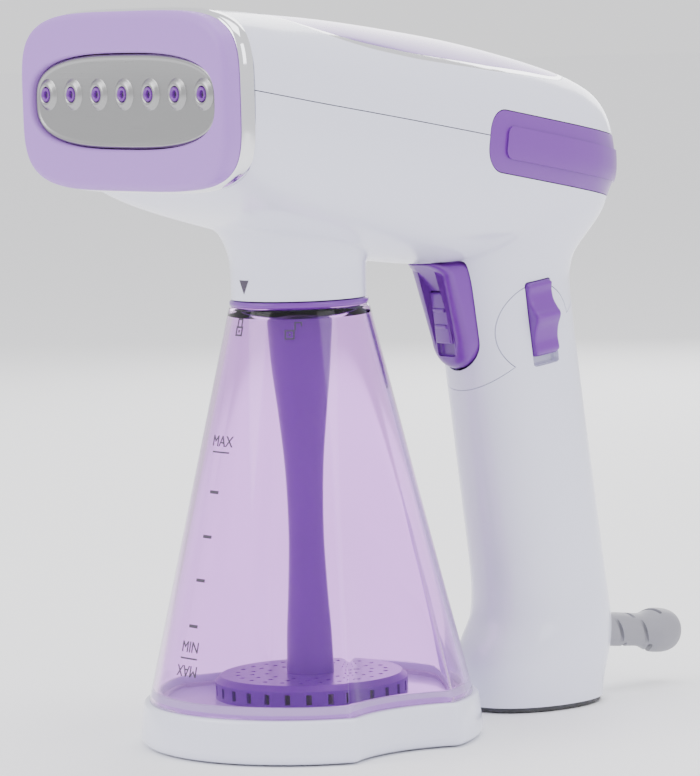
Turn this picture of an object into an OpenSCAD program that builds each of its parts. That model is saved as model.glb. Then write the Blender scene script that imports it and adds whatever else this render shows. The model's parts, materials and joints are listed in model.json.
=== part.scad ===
// Handheld garment steamer: a nose-up steam head on a round neck, a pistol handle behind it
// and a clear conical water tank that hangs from the neck and stands on the table.
// Origin: the centre of the tank's underside. The steam face looks along -Y, +Z is up.

/* [Water tank] */
// Height of the joint between tank and neck above the table
tank_height = 156; // [120:1:200]
// Outer radius of the tank just above its base cap
tank_foot_r = 57.6; // [45:0.5:64]
// Outer radius of the tank at the neck joint
tank_top_r = 24.4; // [21:0.5:28]
// Thickness of the tank's clear wall
tank_wall = 2; // [1.2:0.1:3]
// Height of the base cap
cap_h = 15.3; // [10:0.1:22]
// How far the base cap stands out past the tank wall
cap_lip = 2; // [1:0.1:3.5]
// Radius of the scoop in each side of the tank
scoop_r = 46.4; // [30:0.2:60]
// Depth of the side scoops at the base cap
scoop_depth = 10; // [0:0.5:14]
// Radius of the strainer disc
strainer_r = 34; // [22:0.5:38]
// Height of the strainer disc
strainer_h = 8; // [5:0.5:12]

/* [Head] */
// Distance from the front of the shell to the back of the head
head_length = 201; // [150:1:240]
// Width of the head at its front
head_width = 123; // [90:1:150]
// Height of the steam face
face_height = 62.4; // [50:0.5:75]
// Height of the steam face's middle above the tank joint
face_rise = 72.6; // [60:0.1:90]
// Height of the parting line's front end above the tank joint
parting_rise = 75.8; // [64:0.1:94]
// Drop of the parting line for each mm towards the back
head_fall = 0.172; // [0.1:0.001:0.2]
// Wall thickness of the housings
shell_wall = 2.4; // [1.6:0.1:3]
// Height of the rear grip band
grip_h = 22; // [12:0.2:26]

/* [Steam face] */
// Depth of the chrome band
band_depth = 6; // [3:0.5:9]
// Depth of the bezel in front of the band
bezel_depth = 6.5; // [4:0.1:9]
// Width of the steel plate
plate_width = 107.6; // [80:0.2:110]
// Height of the steel plate at its middle
plate_height = 32.2; // [24:0.2:38]
// Number of steam nozzles
nozzle_count = 7; // [3:1:7]
// Distance from the outermost nozzle's centre to the end of the plate
nozzle_margin = 7.6; // [7:0.1:14]
// Radius of a nozzle's steam hole
nozzle_hole_r = 1.2; // [0.6:0.1:1.6]

/* [Handle] */
// Width of the handle
handle_w = 41; // [34:0.5:48]
// Depth of the handle, front to back
handle_d = 53.2; // [44:0.2:60]
// Forward lean of the handle for each mm of height
handle_lean = 0.1266; // [0.08:0.001:0.16]
// Distance from the tank axis to the handle's centre line at the table
handle_y = 113.3; // [108:0.1:120]

/* [Controls] */
// Width of the trigger
trigger_w = 21; // [14:0.5:24]
// Length of the lock slider in the trigger
lock_len = 19; // [12:0.5:20]
// Travel of the lock slider
lock_travel = 4.4; // [2:0.2:5]
// Length of the power slider
power_len = 27; // [18:0.5:28]
// Width of the power slider
power_w = 11.4; // [8:0.5:13]
// Travel of the power slider
power_travel = 3.4; // [2:0.2:4]

/* [Cord entry] */
// Radius of the hole for the cord
cord_r = 3.6; // [2.5:0.1:4.5]
// Radius of the bend relief's neck
relief_r = 6.3; // [5.4:0.1:7.5]
// Length of the bend relief outside the handle
relief_len = 36; // [26:0.5:50]

/* [Clearances] */
// Gap between parts that move past each other
move_gap = 0.4; // [0.3:0.05:0.6]
// Gap along the seams of the fixed covers
seam = 0.2; // [0.1:0.05:0.4]
// Radial clearance of pins and plungers in their holes
fit = 0.05; // [0.02:0.01:0.1]

/* [Hidden] */
eps = 0.01;
far = 400;

WHITE = "#E4E5EB";
PURPLE = "#8B5DB0";
LILAC = "#B49BCD";
TINT = "#B48CD8";
STEEL = "#A6A6A8";
CHROME = "#D8D8DC";
ALUMINIUM = "#B9BBC0";
RUBBER = "#4A4A4E";
SILICONE = "#D9D3CF";
COPPER = "#B5713C";
BLACK = "#2B2B2F";
GREY = "#C3C3C8";
GREEN = "#2F6B4A";

// ---- Smooth curves through hand-set stations --------------------------------------------
function span(t, s, i = 0) = i >= len(t) - 2 || s < t[i + 1][0] ? i : span(t, s, i + 1);
function chord(t, c, i, j) = (t[j][c] - t[i][c]) / (t[j][0] - t[i][0]);
function slope(t, c, i) =
    i == 0 ? chord(t, c, 0, 1)
    : i == len(t) - 1 ? chord(t, c, i - 1, i)
    : chord(t, c, i - 1, i + 1);
function curve(t, c, s) =
    let (
        i = span(t, s),
        h = t[i + 1][0] - t[i][0],
        u = (s - t[i][0]) / h,
        u2 = u * u,
        u3 = u2 * u
    )
    t[i][c] * (2 * u3 - 3 * u2 + 1) + t[i + 1][c] * (3 * u2 - 2 * u3)
    + slope(t, c, i) * h * (u3 - 2 * u2 + u) + slope(t, c, i + 1) * h * (u3 - u2);
function arm(v, n) = sign(v) * pow(abs(v), 2 / n);

// ---- Head: station = share of the length, half width, height above and below the parting
// line, each as a share of the head's own width or face height --------------------------
band_back = -62;
face_centre_z = tank_height + face_rise;
face_mid_z = tank_height + parting_rise;
half_w = head_width / 2;
half_h = face_height / 2;
HEAD = [
    [0.00, 1.000, 0.897, 1.100],
    [0.06, 0.968, 0.945, 1.266],
    [0.16, 0.915, 1.003, 1.381],
    [0.31, 0.865, 1.074, 1.478],
    [0.46, 0.795, 1.112, 1.529],
    [0.61, 0.705, 1.125, 1.458],
    [0.73, 0.620, 1.090, 1.240],
    [0.83, 0.540, 1.035, 1.016],
    [0.91, 0.450, 0.958, 0.750],
    [0.97, 0.320, 0.810, 0.450],
    [0.995, 0.170, 0.530, 0.190]
];
HEAD_STEPS = 26;
HEAD_SIDES = 40;
function part_z(y) = face_mid_z - head_fall * (y - band_back);
function head_ring(s, inset) =
    let (
        y = band_back + s * head_length,
        a = max(curve(HEAD, 1, s) * half_w - inset, 0.5),
        up = max(curve(HEAD, 2, s) * half_h - inset, 0.5),
        down = max(curve(HEAD, 3, s) * half_h - inset, 0.5),
        n = 3.4 - 1.1 * min(1, s * 1.6)
    )
    [for (k = [0:HEAD_SIDES - 1]) let (g = 360 * k / HEAD_SIDES, v = sin(g))
        [a * arm(cos(g), n), y, part_z(y) + (v > 0 ? up : down) * arm(v, n)]];

// Joins two rings of points into one convex slice.
module slice(a, b) {
    n = len(a);
    hull() polyhedron(
        points = concat(a, b),
        faces = concat(
            [[for (k = [0:n - 1]) k], [for (k = [n - 1:-1:0]) n + k]],
            [for (k = [0:n - 1]) [k, n + k, n + (k + 1) % n, (k + 1) % n]]
        )
    );
}

module head_solid(inset = 0, from = 0, to = 0.995)
    for (k = [0:HEAD_STEPS - 1])
        slice(head_ring(from + (to - from) * k / HEAD_STEPS, inset),
            head_ring(from + (to - from) * (k + 1) / HEAD_STEPS, inset));

// ---- Handle: station = height share, growth of the front, back and half width in mm -----
handle_top_z = face_mid_z - 26.8;
HANDLE = [
    [0.00, 12.0, -9.5, 2.0],
    [0.04, 12.3, -7.2, 2.3],
    [0.08, 11.6, -3.6, 2.6],
    [0.11, 9.6, -1.4, 2.6],
    [0.135, 6.0, -0.5, 2.4],
    [0.16, 2.6, 0, 1.6],
    [0.22, 0.3, 0, 0.6],
    [0.36, 0, 0, 0],
    [0.76, 0, 0, 0],
    [0.808, 1.2, 3.0, 1.4],
    [0.828, 3.0, 6.6, 3.0],
    [0.849, 6.0, 11.2, 5.0],
    [0.870, 9.0, 15.6, 7.0],
    [0.891, 12.0, 19.0, 9.0],
    [0.927, 15.0, 22.0, 11.0],
    [1.00, 17.0, 23.0, 12.0]
];
HANDLE_STEPS = 26;
HANDLE_SIDES = 36;
function handle_mid(z) = handle_y - handle_lean * z;
function handle_ring(z, inset) =
    let (
        s = z / handle_top_z,
        front = handle_mid(z) - handle_d / 2 - curve(HANDLE, 1, s) + inset,
        back = handle_mid(z) + handle_d / 2 + curve(HANDLE, 2, s) - inset,
        a = handle_w / 2 + curve(HANDLE, 3, s) - inset,
        b = (back - front) / 2
    )
    [for (k = [0:HANDLE_SIDES - 1]) let (g = 360 * k / HANDLE_SIDES)
        [a * arm(cos(g), 2.15), (front + back) / 2 + b * arm(sin(g), 2.15), z]];
module handle_solid(inset = 0, from = 0, to = handle_top_z)
    for (k = [0:HANDLE_STEPS - 1])
        slice(handle_ring(from + (to - from) * pow(k / HANDLE_STEPS, 1.15), inset),
            handle_ring(from + (to - from) * pow((k + 1) / HANDLE_STEPS, 1.15), inset));

// ---- Regions that cut the body into its covers ------------------------------------------
part_turn = atan(head_fall);
module on_parting_line()
    translate([0, band_back, face_mid_z]) rotate([-part_turn, 0, 0]) children();
module above_parting(gap) on_parting_line() translate([-far / 2, -far / 4, gap]) cube(far);
grip_start = 116.5;
grip_drop = 1.1;
grip_round = 8.5;
module grip_region(gap)
    on_parting_line() translate([0, 0, -grip_drop]) rotate([90, 0, 90]) linear_extrude(far, center = true)
        hull() {
            for (side = [-1, 1])
                translate([grip_start + grip_round, side * (grip_h / 2 - grip_round)])
                    circle(grip_round + gap, $fn = 32);
            translate([head_length, -grip_h / 2 - gap]) square([60, grip_h + 2 * gap]);
        }
// Top cover seen from above: share of the head's length, share of its half width.
COVER = [
    [0.122, 0.000],
    [0.134, 0.325],
    [0.154, 0.520],
    [0.190, 0.655],
    [0.270, 0.719],
    [0.383, 0.691],
    [0.488, 0.626],
    [0.617, 0.520],
    [0.726, 0.423],
    [0.806, 0.345],
    [0.846, 0.270],
    [0.866, 0.170],
    [0.873, 0.000]
];
trim_w = 2;
function cover_edge(side, s) =
    [side * max(curve(COVER, 1, s), 0) * half_w, band_back + s * head_length];
function cover_spots() = [
    for (i = [0:len(COVER) - 2]) for (u = [0, 0.33, 0.67])
        COVER[i][0] + u * (COVER[i + 1][0] - COVER[i][0])
];
module cover_region(gap)
    translate([0, 0, part_z(band_back)]) linear_extrude(far, center = true)
        offset(delta = gap) polygon(concat(
            [for (s = cover_spots()) cover_edge(1, s)],
            [cover_edge(1, COVER[len(COVER) - 1][0])],
            [for (k = [len(cover_spots()) - 1:-1:1]) cover_edge(-1, cover_spots()[k])]
        ));
// The handle's sleeve ends in a slanted seam that rises round the power slider.
seam_front_z = handle_top_z - 87;
seam_rise = 0.71;
switch_z = handle_top_z - 61;
switch_y = handle_mid(switch_z);
tongue_r = 16.5;
module sleeve_region(gap) {
    translate([0, handle_mid(seam_front_z) - handle_d / 2, seam_front_z - gap])
        rotate([atan(seam_rise), 0, 0]) translate([-far / 2, -far / 2, -far]) cube(far);
    translate([0, switch_y - 1.5, switch_z - 4]) rotate([0, 90, 0])
        cylinder(r = tongue_r - gap, h = far, center = true, $fn = 48);
}

// ---- Neck -------------------------------------------------------------------------------
collar_gap_z = tank_height + 1;
neck_top = handle_top_z - 9;
neck_r = tank_top_r - 0.4;
neck_steps = 8;
flare = 20;
neck_bore = neck_r - 2.6;
function flare_at(t) = neck_r + flare * pow(t, 2.2);
module neck_solid() {
    rise = neck_top - collar_gap_z - 9;
    rotate_extrude($fn = 72)
        polygon(concat(
            [[0, collar_gap_z], [neck_r, collar_gap_z], [neck_r, collar_gap_z + 9]],
            [for (k = [1:neck_steps]) [flare_at(k / neck_steps), collar_gap_z + 9 + rise * k / neck_steps]],
            [[0, neck_top]]
        ));
}
module neck_hollow() translate([0, 0, collar_gap_z - eps]) cylinder(r = neck_bore, h = 60, $fn = 72);
collar_seam_z = neck_top - 12;
collar_fall = 0.25;
module collar_region(gap)
    translate([0, 0, collar_seam_z - gap]) rotate([-atan(collar_fall), 0, 0])
        translate([-far / 2, -far / 2, -far]) cube(far);

// ---- Controls' places -------------------------------------------------------------------
lean_turn = atan(handle_lean);
trigger_top_z = handle_top_z - 42;
trigger_low_z = trigger_top_z - 37;
pin_z = trigger_top_z + 8;
pin_y = 66;
pin_r = 1.6;
ear_x = trigger_w / 2 + 0.8;
ear_t = 2.4;
ear_r = 4.5;
trigger_proud = 3.4;
trigger_room = 12;
power_in = 5;
power_out = 1.2;
power_ridge_r = 4.5;
function handle_front(z) = handle_mid(z) - handle_d / 2;
// Runs its children in a frame whose Z follows the handle's axis, centred at the slider.
module on_power() translate([handle_w / 2, switch_y, switch_z]) rotate([lean_turn, 0, 0]) children();
lock_z = trigger_top_z - 17.5;

module trigger_hole()
    hull() {
        for (z = [trigger_low_z + trigger_w / 2 - 0.8, trigger_top_z + 8])
            translate([0, handle_front(z) - trigger_room, z]) rotate([-90, 0, 0])
                cylinder(r = trigger_w / 2 + move_gap, h = trigger_room + 10, $fn = 32);
    }
module power_hole()
    on_power() translate([-power_in - 2, -power_w / 2 - move_gap, -power_len / 2 - power_travel - move_gap])
        cube([20, power_w + 2 * move_gap, power_len + power_travel + 2 * move_gap]);

// ---- Housings ---------------------------------------------------------------------------
module upper_housing() color(WHITE)
    difference() {
        head_solid();
        head_solid(shell_wall, -0.01, 0.985);
        on_parting_line() translate([-far / 2, -far / 4, -far + seam / 2]) cube(far);
        grip_region(seam);
        intersection() {
            cover_region(trim_w);
            above_parting(grip_h / 2 + 2);
        }
    }
module lower_housing() color(WHITE)
    difference() {
        union() {
            difference() {
                lower_form();
                head_solid(shell_wall, -0.01, 0.985);
                handle_solid(shell_wall, seam_front_z - 22, handle_top_z - 2);
                neck_hollow();
            }
            intersection() {
                pin_ears();
                lower_form();
            }
        }
        grip_region(seam);
        sleeve_region(0);
        trigger_hole();
        power_hole();
        pin_hole();
    }
module lower_form() {
    difference() {
        head_solid();
        above_parting(-seam / 2);
        intersection() {
            neck_solid();
            collar_region(-seam / 2);
        }
    }
    difference() {
        handle_solid(from = seam_front_z - 20);
        above_parting(-grip_h / 2 - 1);
    }
    difference() {
        neck_solid();
        collar_region(-seam / 2);
    }
}
// The trigger's pin sits in two ears that stand on the shell beside the trigger's slot.
module pin_ears()
    for (side = [-1, 1])
        translate([side * (ear_x + ear_t / 2) - ear_t / 2, pin_y - ear_r, pin_z - 12])
            cube([ear_t, 2 * ear_r, 12 + ear_r]);
module pin_hole() translate([-far / 2, pin_y, pin_z]) rotate([0, 90, 0])
    translate([0, 0, far / 2 - ear_x - 2 * ear_t])
        cylinder(r = pin_r + fit, h = 2 * ear_x + 4 * ear_t, $fn = 32);
module neck_collar() color(WHITE)
    difference() {
        intersection() {
            neck_solid();
            collar_region(seam / 2);
        }
        neck_hollow();
    }
module handle_shell() color(WHITE)
    difference() {
        union() {
            difference() {
                intersection() {
                    handle_solid(to = 165);
                    sleeve_region(seam);
                    translate([-far / 2, -far / 2, plate_t + seam]) cube(far);
                }
                handle_solid(shell_wall, -4, 167);
            }
            foot_posts();
        }
        trigger_hole();
        power_hole();
        relief_hole();
        foot_screw_holes();
    }

// ---- Handle foot ------------------------------------------------------------------------
plate_t = 1.4;
plate_inset = 0.8;
foot_screw_r = 1.5;
foot_screw_len = 12;
foot_screw_y = [handle_y - 24, handle_y + 8];
module foot_plate() color(BLACK)
    difference() {
        linear_extrude(plate_t)
            polygon([for (p = handle_ring(0, plate_inset)) [p[0], p[1]]]);
        for (y = foot_screw_y)
            translate([0, y, -eps]) {
                cylinder(r = foot_screw_r + fit, h = plate_t + 2 * eps, $fn = 24);
                cylinder(r = 2.9, h = 0.9, $fn = 24);
            }
    }
// Each post is tied to the shell's wall by a cross web.
module foot_posts()
    for (y = foot_screw_y) {
        translate([0, y, plate_t + seam]) cylinder(r = 4, h = foot_screw_len, $fn = 32);
        intersection() {
            handle_solid(shell_wall / 2, to = 60);
            translate([-far / 2, y - 1, plate_t + seam]) cube([far, 2, foot_screw_len - 2]);
        }
    }
module foot_screw_holes()
    for (y = foot_screw_y)
        translate([0, y, 0]) cylinder(r = foot_screw_r + fit, h = foot_screw_len + 4, $fn = 24);
module foot_screws() color(STEEL)
    for (y = foot_screw_y)
        translate([0, y, 0.2]) {
            cylinder(r = foot_screw_r, h = foot_screw_len, $fn = 24);
            difference() {
                cylinder(r = 2.7, h = 0.6, $fn = 24);
                translate([-2, -0.3, -eps]) cube([4, 0.6, 0.3]);
            }
        }

// ---- Covers of the head -----------------------------------------------------------------
cover_t = 1.8;
module top_cover() color(PURPLE)
    intersection() {
        difference() {
            head_solid();
            head_solid(cover_t, -0.01, 0.985);
        }
        cover_region(0);
        above_parting(grip_h / 2 + 2);
    }
module top_trim() color(CHROME)
    difference() {
        intersection() {
            difference() {
                head_solid();
                head_solid(shell_wall, -0.01, 0.985);
            }
            cover_region(trim_w - seam);
            above_parting(grip_h / 2 + 2 + seam);
        }
        cover_region(seam);
    }
module rear_grip() color(PURPLE)
    intersection() {
        difference() {
            head_solid();
            head_solid(shell_wall, -0.01, 0.985);
        }
        grip_region(0);
    }

// ---- Steam face -------------------------------------------------------------------------
FACE_SIDES = 56;
face_z = face_centre_z;
face_n = 4.3;
band_front = band_back - band_depth;
bezel_front = band_front - bezel_depth;
plate_t2 = 1;
plate_sink = 2.1;
plate_front = bezel_front + plate_sink;
gasket_t = 2;
plate_gap = 0.4;
row_z = face_z + 2.4;
boss_r = 4.6;
tip_r = 3.5;
function oval(a, b, n) = [for (k = [0:FACE_SIDES - 1]) let (g = 360 * (k + 0.5) / FACE_SIDES)
    [a * arm(cos(g), n), b * arm(sin(g), n)]];
// Runs an outline from y = front backwards for a depth.
module from_front(y, depth) translate([0, y, face_z]) rotate([-90, 0, 0]) linear_extrude(depth) children();
module face_outline(inset) polygon(oval(half_w - inset, half_h - inset, face_n));
module plate_outline(grow) polygon(oval(plate_width / 2 + grow, plate_height / 2 + grow, 2.9));
nozzle_pitch = (plate_width - 2 * nozzle_margin) / (nozzle_count - 1);
module at_nozzles()
    for (k = [0:nozzle_count - 1])
        translate([(k - (nozzle_count - 1) / 2) * nozzle_pitch, 0, row_z]) children();
module chrome_band() color(CHROME)
    difference() {
        from_front(band_front, band_depth - seam) face_outline(-0.5);
        from_front(band_front - eps, band_depth + 1) face_outline(3);
    }
module face_bezel() color(LILAC)
    difference() {
        union() {
            from_front(bezel_front, 2) face_outline(1.4);
            from_front(bezel_front + 1.2, bezel_depth - 1.2 - seam) face_outline(0.4);
        }
        from_front(bezel_front - eps, bezel_depth + 1) plate_outline(plate_gap);
        from_front(bezel_front + 4, bezel_depth) difference() {
            face_outline(3);
            plate_outline(3);
        }
    }
module plate_gasket() color(SILICONE)
    from_front(plate_front + plate_t2, gasket_t) difference() {
        plate_outline(0);
        plate_outline(-3);
    }
module nozzle_plate() color(STEEL)
    difference() {
        union() {
            from_front(plate_front, plate_t2) plate_outline(0);
            at_nozzles() translate([0, plate_front - 1.2, 0]) rotate([-90, 0, 0])
                cylinder(r1 = boss_r - 0.8, r2 = boss_r, h = 1.2 + eps, $fn = 32);
        }
        at_nozzles() translate([0, plate_front - 2, 0]) rotate([-90, 0, 0])
            cylinder(r = tip_r + fit, h = 4, $fn = 32);
    }
module nozzle_tips() color(PURPLE)
    at_nozzles() translate([0, plate_front - 1.8, 0]) rotate([-90, 0, 0])
        difference() {
            cylinder(r = tip_r, h = 1.8 + plate_t2 + gasket_t - 0.1, $fn = 32);
            translate([0, 0, -eps]) cylinder(r = nozzle_hole_r, h = 10, $fn = 24);
        }

// ---- Steam chamber ----------------------------------------------------------------------
chamber_w = plate_width - 18;
chamber_front = plate_front + plate_t2 + gasket_t;
chamber_depth = 30;
chamber_h = plate_height - 8.2;
chamber_back = chamber_front + chamber_depth;
lid_t = 3;
steam_room = 12;
chamber_screw_x = chamber_w / 2 - 5;
chamber_screw_z = chamber_h / 2 - 4;
screw_r = 1.5;
module at_chamber_screws()
    for (sx = [-1, 1]) for (sz = [-1, 1])
        translate([sx * chamber_screw_x, 0, face_z + sz * chamber_screw_z]) children();
module steam_chamber() color(ALUMINIUM)
    difference() {
        translate([-chamber_w / 2, chamber_front, face_z - chamber_h / 2])
            cube([chamber_w, chamber_depth, chamber_h]);
        translate([-chamber_w / 2 + 10, chamber_back - steam_room, face_z - chamber_h / 2 + 5])
            cube([chamber_w - 20, steam_room + 1, chamber_h - 10]);
        intersection() {
            at_nozzles() translate([0, chamber_front - 1, 0]) rotate([-90, 0, 0])
                cylinder(r = 1.6, h = chamber_depth, $fn = 24);
            translate([-chamber_w / 2 + 6, 0, 0] - [0, far / 2, 0]) cube([chamber_w - 12, far, far]);
        }
        at_chamber_screws() translate([0, chamber_back - 8, 0]) rotate([-90, 0, 0])
            cylinder(r = screw_r + fit, h = 9, $fn = 24);
        element_path(3.05);
    }
element_drop = 6;
element_x = chamber_w / 2 - 20;
element_y = chamber_front + 9;
element_r = 3;
// A bar heater that lies across the casting and turns back out through its rear corners.
module element_path(r) translate([0, element_y, face_z - element_drop]) {
    translate([-element_x, 0, 0]) rotate([0, 90, 0]) cylinder(r = r, h = 2 * element_x, $fn = 32);
    for (side = [-1, 1])
        translate([side * element_x, 0, 0]) sphere(r = r, $fn = 32);
    for (side = [-1, 1])
        translate([side * element_x, 0, 0]) rotate([-90, 0, 0])
            cylinder(r = r, h = chamber_depth + 4, $fn = 32);
}
module heating_element() color(STEEL) element_path(element_r);
module chamber_lid() color(ALUMINIUM)
    difference() {
        translate([-chamber_w / 2, chamber_back, face_z - chamber_h / 2])
            cube([chamber_w, lid_t, chamber_h]);
        at_chamber_screws() translate([0, chamber_back - 1, 0]) rotate([-90, 0, 0])
            cylinder(r = screw_r + fit, h = 9, $fn = 24);
        along_y(chamber_back - 1, loop_z) cylinder(r = hose_bore, h = 9, $fn = 32);
        element_path(element_r + 0.3);
    }
module chamber_screws() color(STEEL)
    at_chamber_screws() translate([0, chamber_back - 7, 0]) rotate([-90, 0, 0]) {
        cylinder(r = screw_r, h = 7 + lid_t + eps, $fn = 24);
        translate([0, 0, 7 + lid_t]) cylinder(r = 2.8, h = 1.8, $fn = 24);
    }
shield_gap = 3;
shield_t = 1;
module heat_shield() color(SILICONE)
    translate([-chamber_w / 2, chamber_front + 2, face_z + chamber_h / 2 + shield_gap])
        cube([chamber_w, chamber_depth, shield_t]);
module thermostat() color(BLACK)
    translate([18, chamber_back + lid_t, face_z + 5]) rotate([-90, 0, 0]) {
        cylinder(r = 7, h = 6, $fn = 48);
        for (side = [-1, 1]) translate([side * 4 - 1.5, -0.4, 6 - eps]) cube([3, 0.8, 6]);
    }
module thermal_fuse() color(STEEL)
    translate([-28, chamber_back + lid_t + 2.2, face_z + 5]) rotate([0, 90, 0]) {
        cylinder(r = 2, h = 12, $fn = 32);
        translate([0, 0, -6]) cylinder(r = 0.5, h = 24, $fn = 24);
    }

// ---- Pump -------------------------------------------------------------------------------
pump_y = 34;
pump_z = face_centre_z - 25.6;
pump_len = 30;
coil_r = 13;
tube_r = 5.2;
plunger_r = 3.9;
hose_r = 3;
hose_bore = 1.6;
module along_y(y, z) translate([0, y, z]) rotate([-90, 0, 0]) children();
module pump_coil() color(COPPER)
    along_y(pump_y, pump_z) difference() {
        cylinder(r = coil_r, h = pump_len - 6, $fn = 64);
        translate([0, 0, -1]) cylinder(r = tube_r + fit, h = pump_len, $fn = 48);
    }
module pump_frame() color(STEEL)
    difference() {
        translate([-coil_r - 2.5, pump_y - 2, pump_z - coil_r - 2])
            cube([2 * coil_r + 5, pump_len - 2, 2 * coil_r + 4]);
        translate([-coil_r - 0.5, pump_y - 0.1, pump_z - coil_r - 3])
            cube([2 * coil_r + 1, pump_len - 5.8, 2 * coil_r + 6]);
        along_y(pump_y - 5, pump_z) cylinder(r = tube_r + fit, h = pump_len + 10, $fn = 48);
    }
module pump_tube() color(SILICONE)
    along_y(pump_y - 8, pump_z) difference() {
        union() {
            cylinder(r = tube_r, h = pump_len + 12, $fn = 48);
            translate([0, 0, -8]) cylinder(r = hose_bore - fit, h = 9, $fn = 32);
            translate([0, 0, pump_len + 11]) cylinder(r = hose_bore - fit, h = 9, $fn = 32);
        }
        translate([0, 0, 2]) cylinder(r = plunger_r + fit, h = pump_len + 8, $fn = 48);
        translate([0, 0, -9]) cylinder(r = 0.8, h = pump_len + 40, $fn = 24);
    }
module pump_plunger() color(STEEL)
    along_y(pump_y + 4, pump_z) difference() {
        cylinder(r = plunger_r, h = 14, $fn = 48);
        translate([0, 0, -1]) cylinder(r = 0.8, h = 16, $fn = 24);
    }
module pump_spring() color(STEEL)
    along_y(pump_y + 18, pump_z) difference() {
        cylinder(r = 3.6, h = 12, $fn = 32);
        translate([0, 0, -1]) cylinder(r = 2.8, h = 14, $fn = 32);
    }
module pump_mounts() color(RUBBER)
    for (y = [pump_y - 8, pump_y + pump_len - 1]) along_y(y, pump_z) difference() {
        cylinder(r = tube_r + 3, h = 4, $fn = 48);
        translate([0, 0, -1]) cylinder(r = tube_r + fit, h = 6, $fn = 48);
    }

// ---- Hoses: tubes with round bends, one above the neck and one along the top of the pump 
module bend(r, turn_r, bore) rotate_extrude(angle = 90, $fn = 48)
    translate([turn_r, 0]) difference() {
        circle(r, $fn = 32);
        circle(bore, $fn = 32);
    }
module pipe(r, bore, len) difference() {
    cylinder(r = r, h = len, $fn = 32);
    translate([0, 0, -eps]) cylinder(r = bore, h = len + 2 * eps, $fn = 32);
}
inlet_turn = 8;
module inlet_hose() color(SILICONE) {
    translate([0, 0, inlet_top - 5]) pipe(hose_r, hose_bore, pump_z - inlet_turn - inlet_top + 5);
    translate([0, inlet_turn, pump_z - inlet_turn]) rotate([0, 0, 90]) rotate([90, 0, 0])
        rotate([0, 0, 90]) bend(hose_r, inlet_turn, hose_bore);
    along_y(inlet_turn, pump_z) pipe(hose_r, hose_bore, pump_y - 8 - inlet_turn - 0.1);
}
loop_z = face_z - 4.6;
loop_y = pump_y + pump_len + 12;
hose_turn = (loop_z - pump_z) / 2;
lid_back = chamber_back + lid_t;
module water_hose() color(SILICONE) {
    along_y(pump_y + pump_len + 4.1, pump_z) pipe(hose_r, hose_bore, loop_y - pump_y - pump_len - 4.1);
    translate([0, loop_y, pump_z + hose_turn]) rotate([90, 0, 90]) rotate([0, 0, -90])
        bend(hose_r, hose_turn, hose_bore);
    translate([0, loop_y, loop_z - hose_turn]) rotate([90, 0, 90])
        bend(hose_r, hose_turn, hose_bore);
    along_y(lid_back, loop_z) pipe(hose_r, hose_bore, loop_y - lid_back);
}

// ---- Board ------------------------------------------------------------------------------
board_z = pump_z + 27;
module control_board() {
    color(GREEN) translate([-20, 26, board_z]) cube([40, 46, 1.6]);
    color(BLACK) {
        translate([-14, 32, board_z + 1.6 - eps]) cube([15, 12, 7]);
        translate([5, 34, board_z + 1.6 - eps]) cube([9, 9, 4]);
        translate([-8, 56, board_z + 1.6 - eps]) cylinder(r = 4, h = 6, $fn = 32);
    }
}

// ---- Bayonet between neck and tank ------------------------------------------------------
lug_count = 3;
lug_angle = 40;
throat_r = neck_bore - 3.6;
lug_r = neck_bore - 1.8;
ledge_t = 2.6;
lug_t = 3;
lug_z = collar_gap_z + ledge_t + move_gap;
ring_h = 11;
module sector(r1, r2, angle, h) rotate([0, 0, -angle / 2])
    rotate_extrude(angle = angle, $fn = 72) translate([r1, 0]) square([r2 - r1, h]);
module bayonet_ring() color(GREY)
    translate([0, 0, collar_gap_z]) {
        difference() {
            cylinder(r = neck_bore - seam / 2, h = ring_h, $fn = 72);
            translate([0, 0, -1]) cylinder(r = lug_r + move_gap, h = ring_h + 2, $fn = 72);
        }
        for (k = [0:lug_count - 1]) rotate([0, 0, 360 * k / lug_count])
            sector(throat_r + move_gap, lug_r + move_gap + 0.3, lug_angle + 4, ledge_t);
    }
inlet_top = collar_gap_z + 34;
inlet_floor = collar_gap_z + ring_h + 1;
module inlet_nozzle() color(GREY)
    difference() {
        union() {
            translate([0, 0, inlet_floor]) cylinder(r = neck_bore - seam, h = 2.4, $fn = 72);
            translate([0, 0, inlet_floor - 7]) cylinder(r = 3.4, h = 12, $fn = 48);
            translate([0, 0, inlet_floor])
                cylinder(r = hose_bore - fit, h = inlet_top - inlet_floor, $fn = 32);
        }
        translate([0, 0, inlet_floor - 8]) cylinder(r = 0.8, h = 60, $fn = 24);
    }
module neck_seal() color(RUBBER)
    translate([0, 0, inlet_floor - 1]) difference() {
        cylinder(r = throat_r - 0.2, h = 1, $fn = 64);
        translate([0, 0, -1]) cylinder(r = throat_r - 2, h = 3, $fn = 64);
    }

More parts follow.
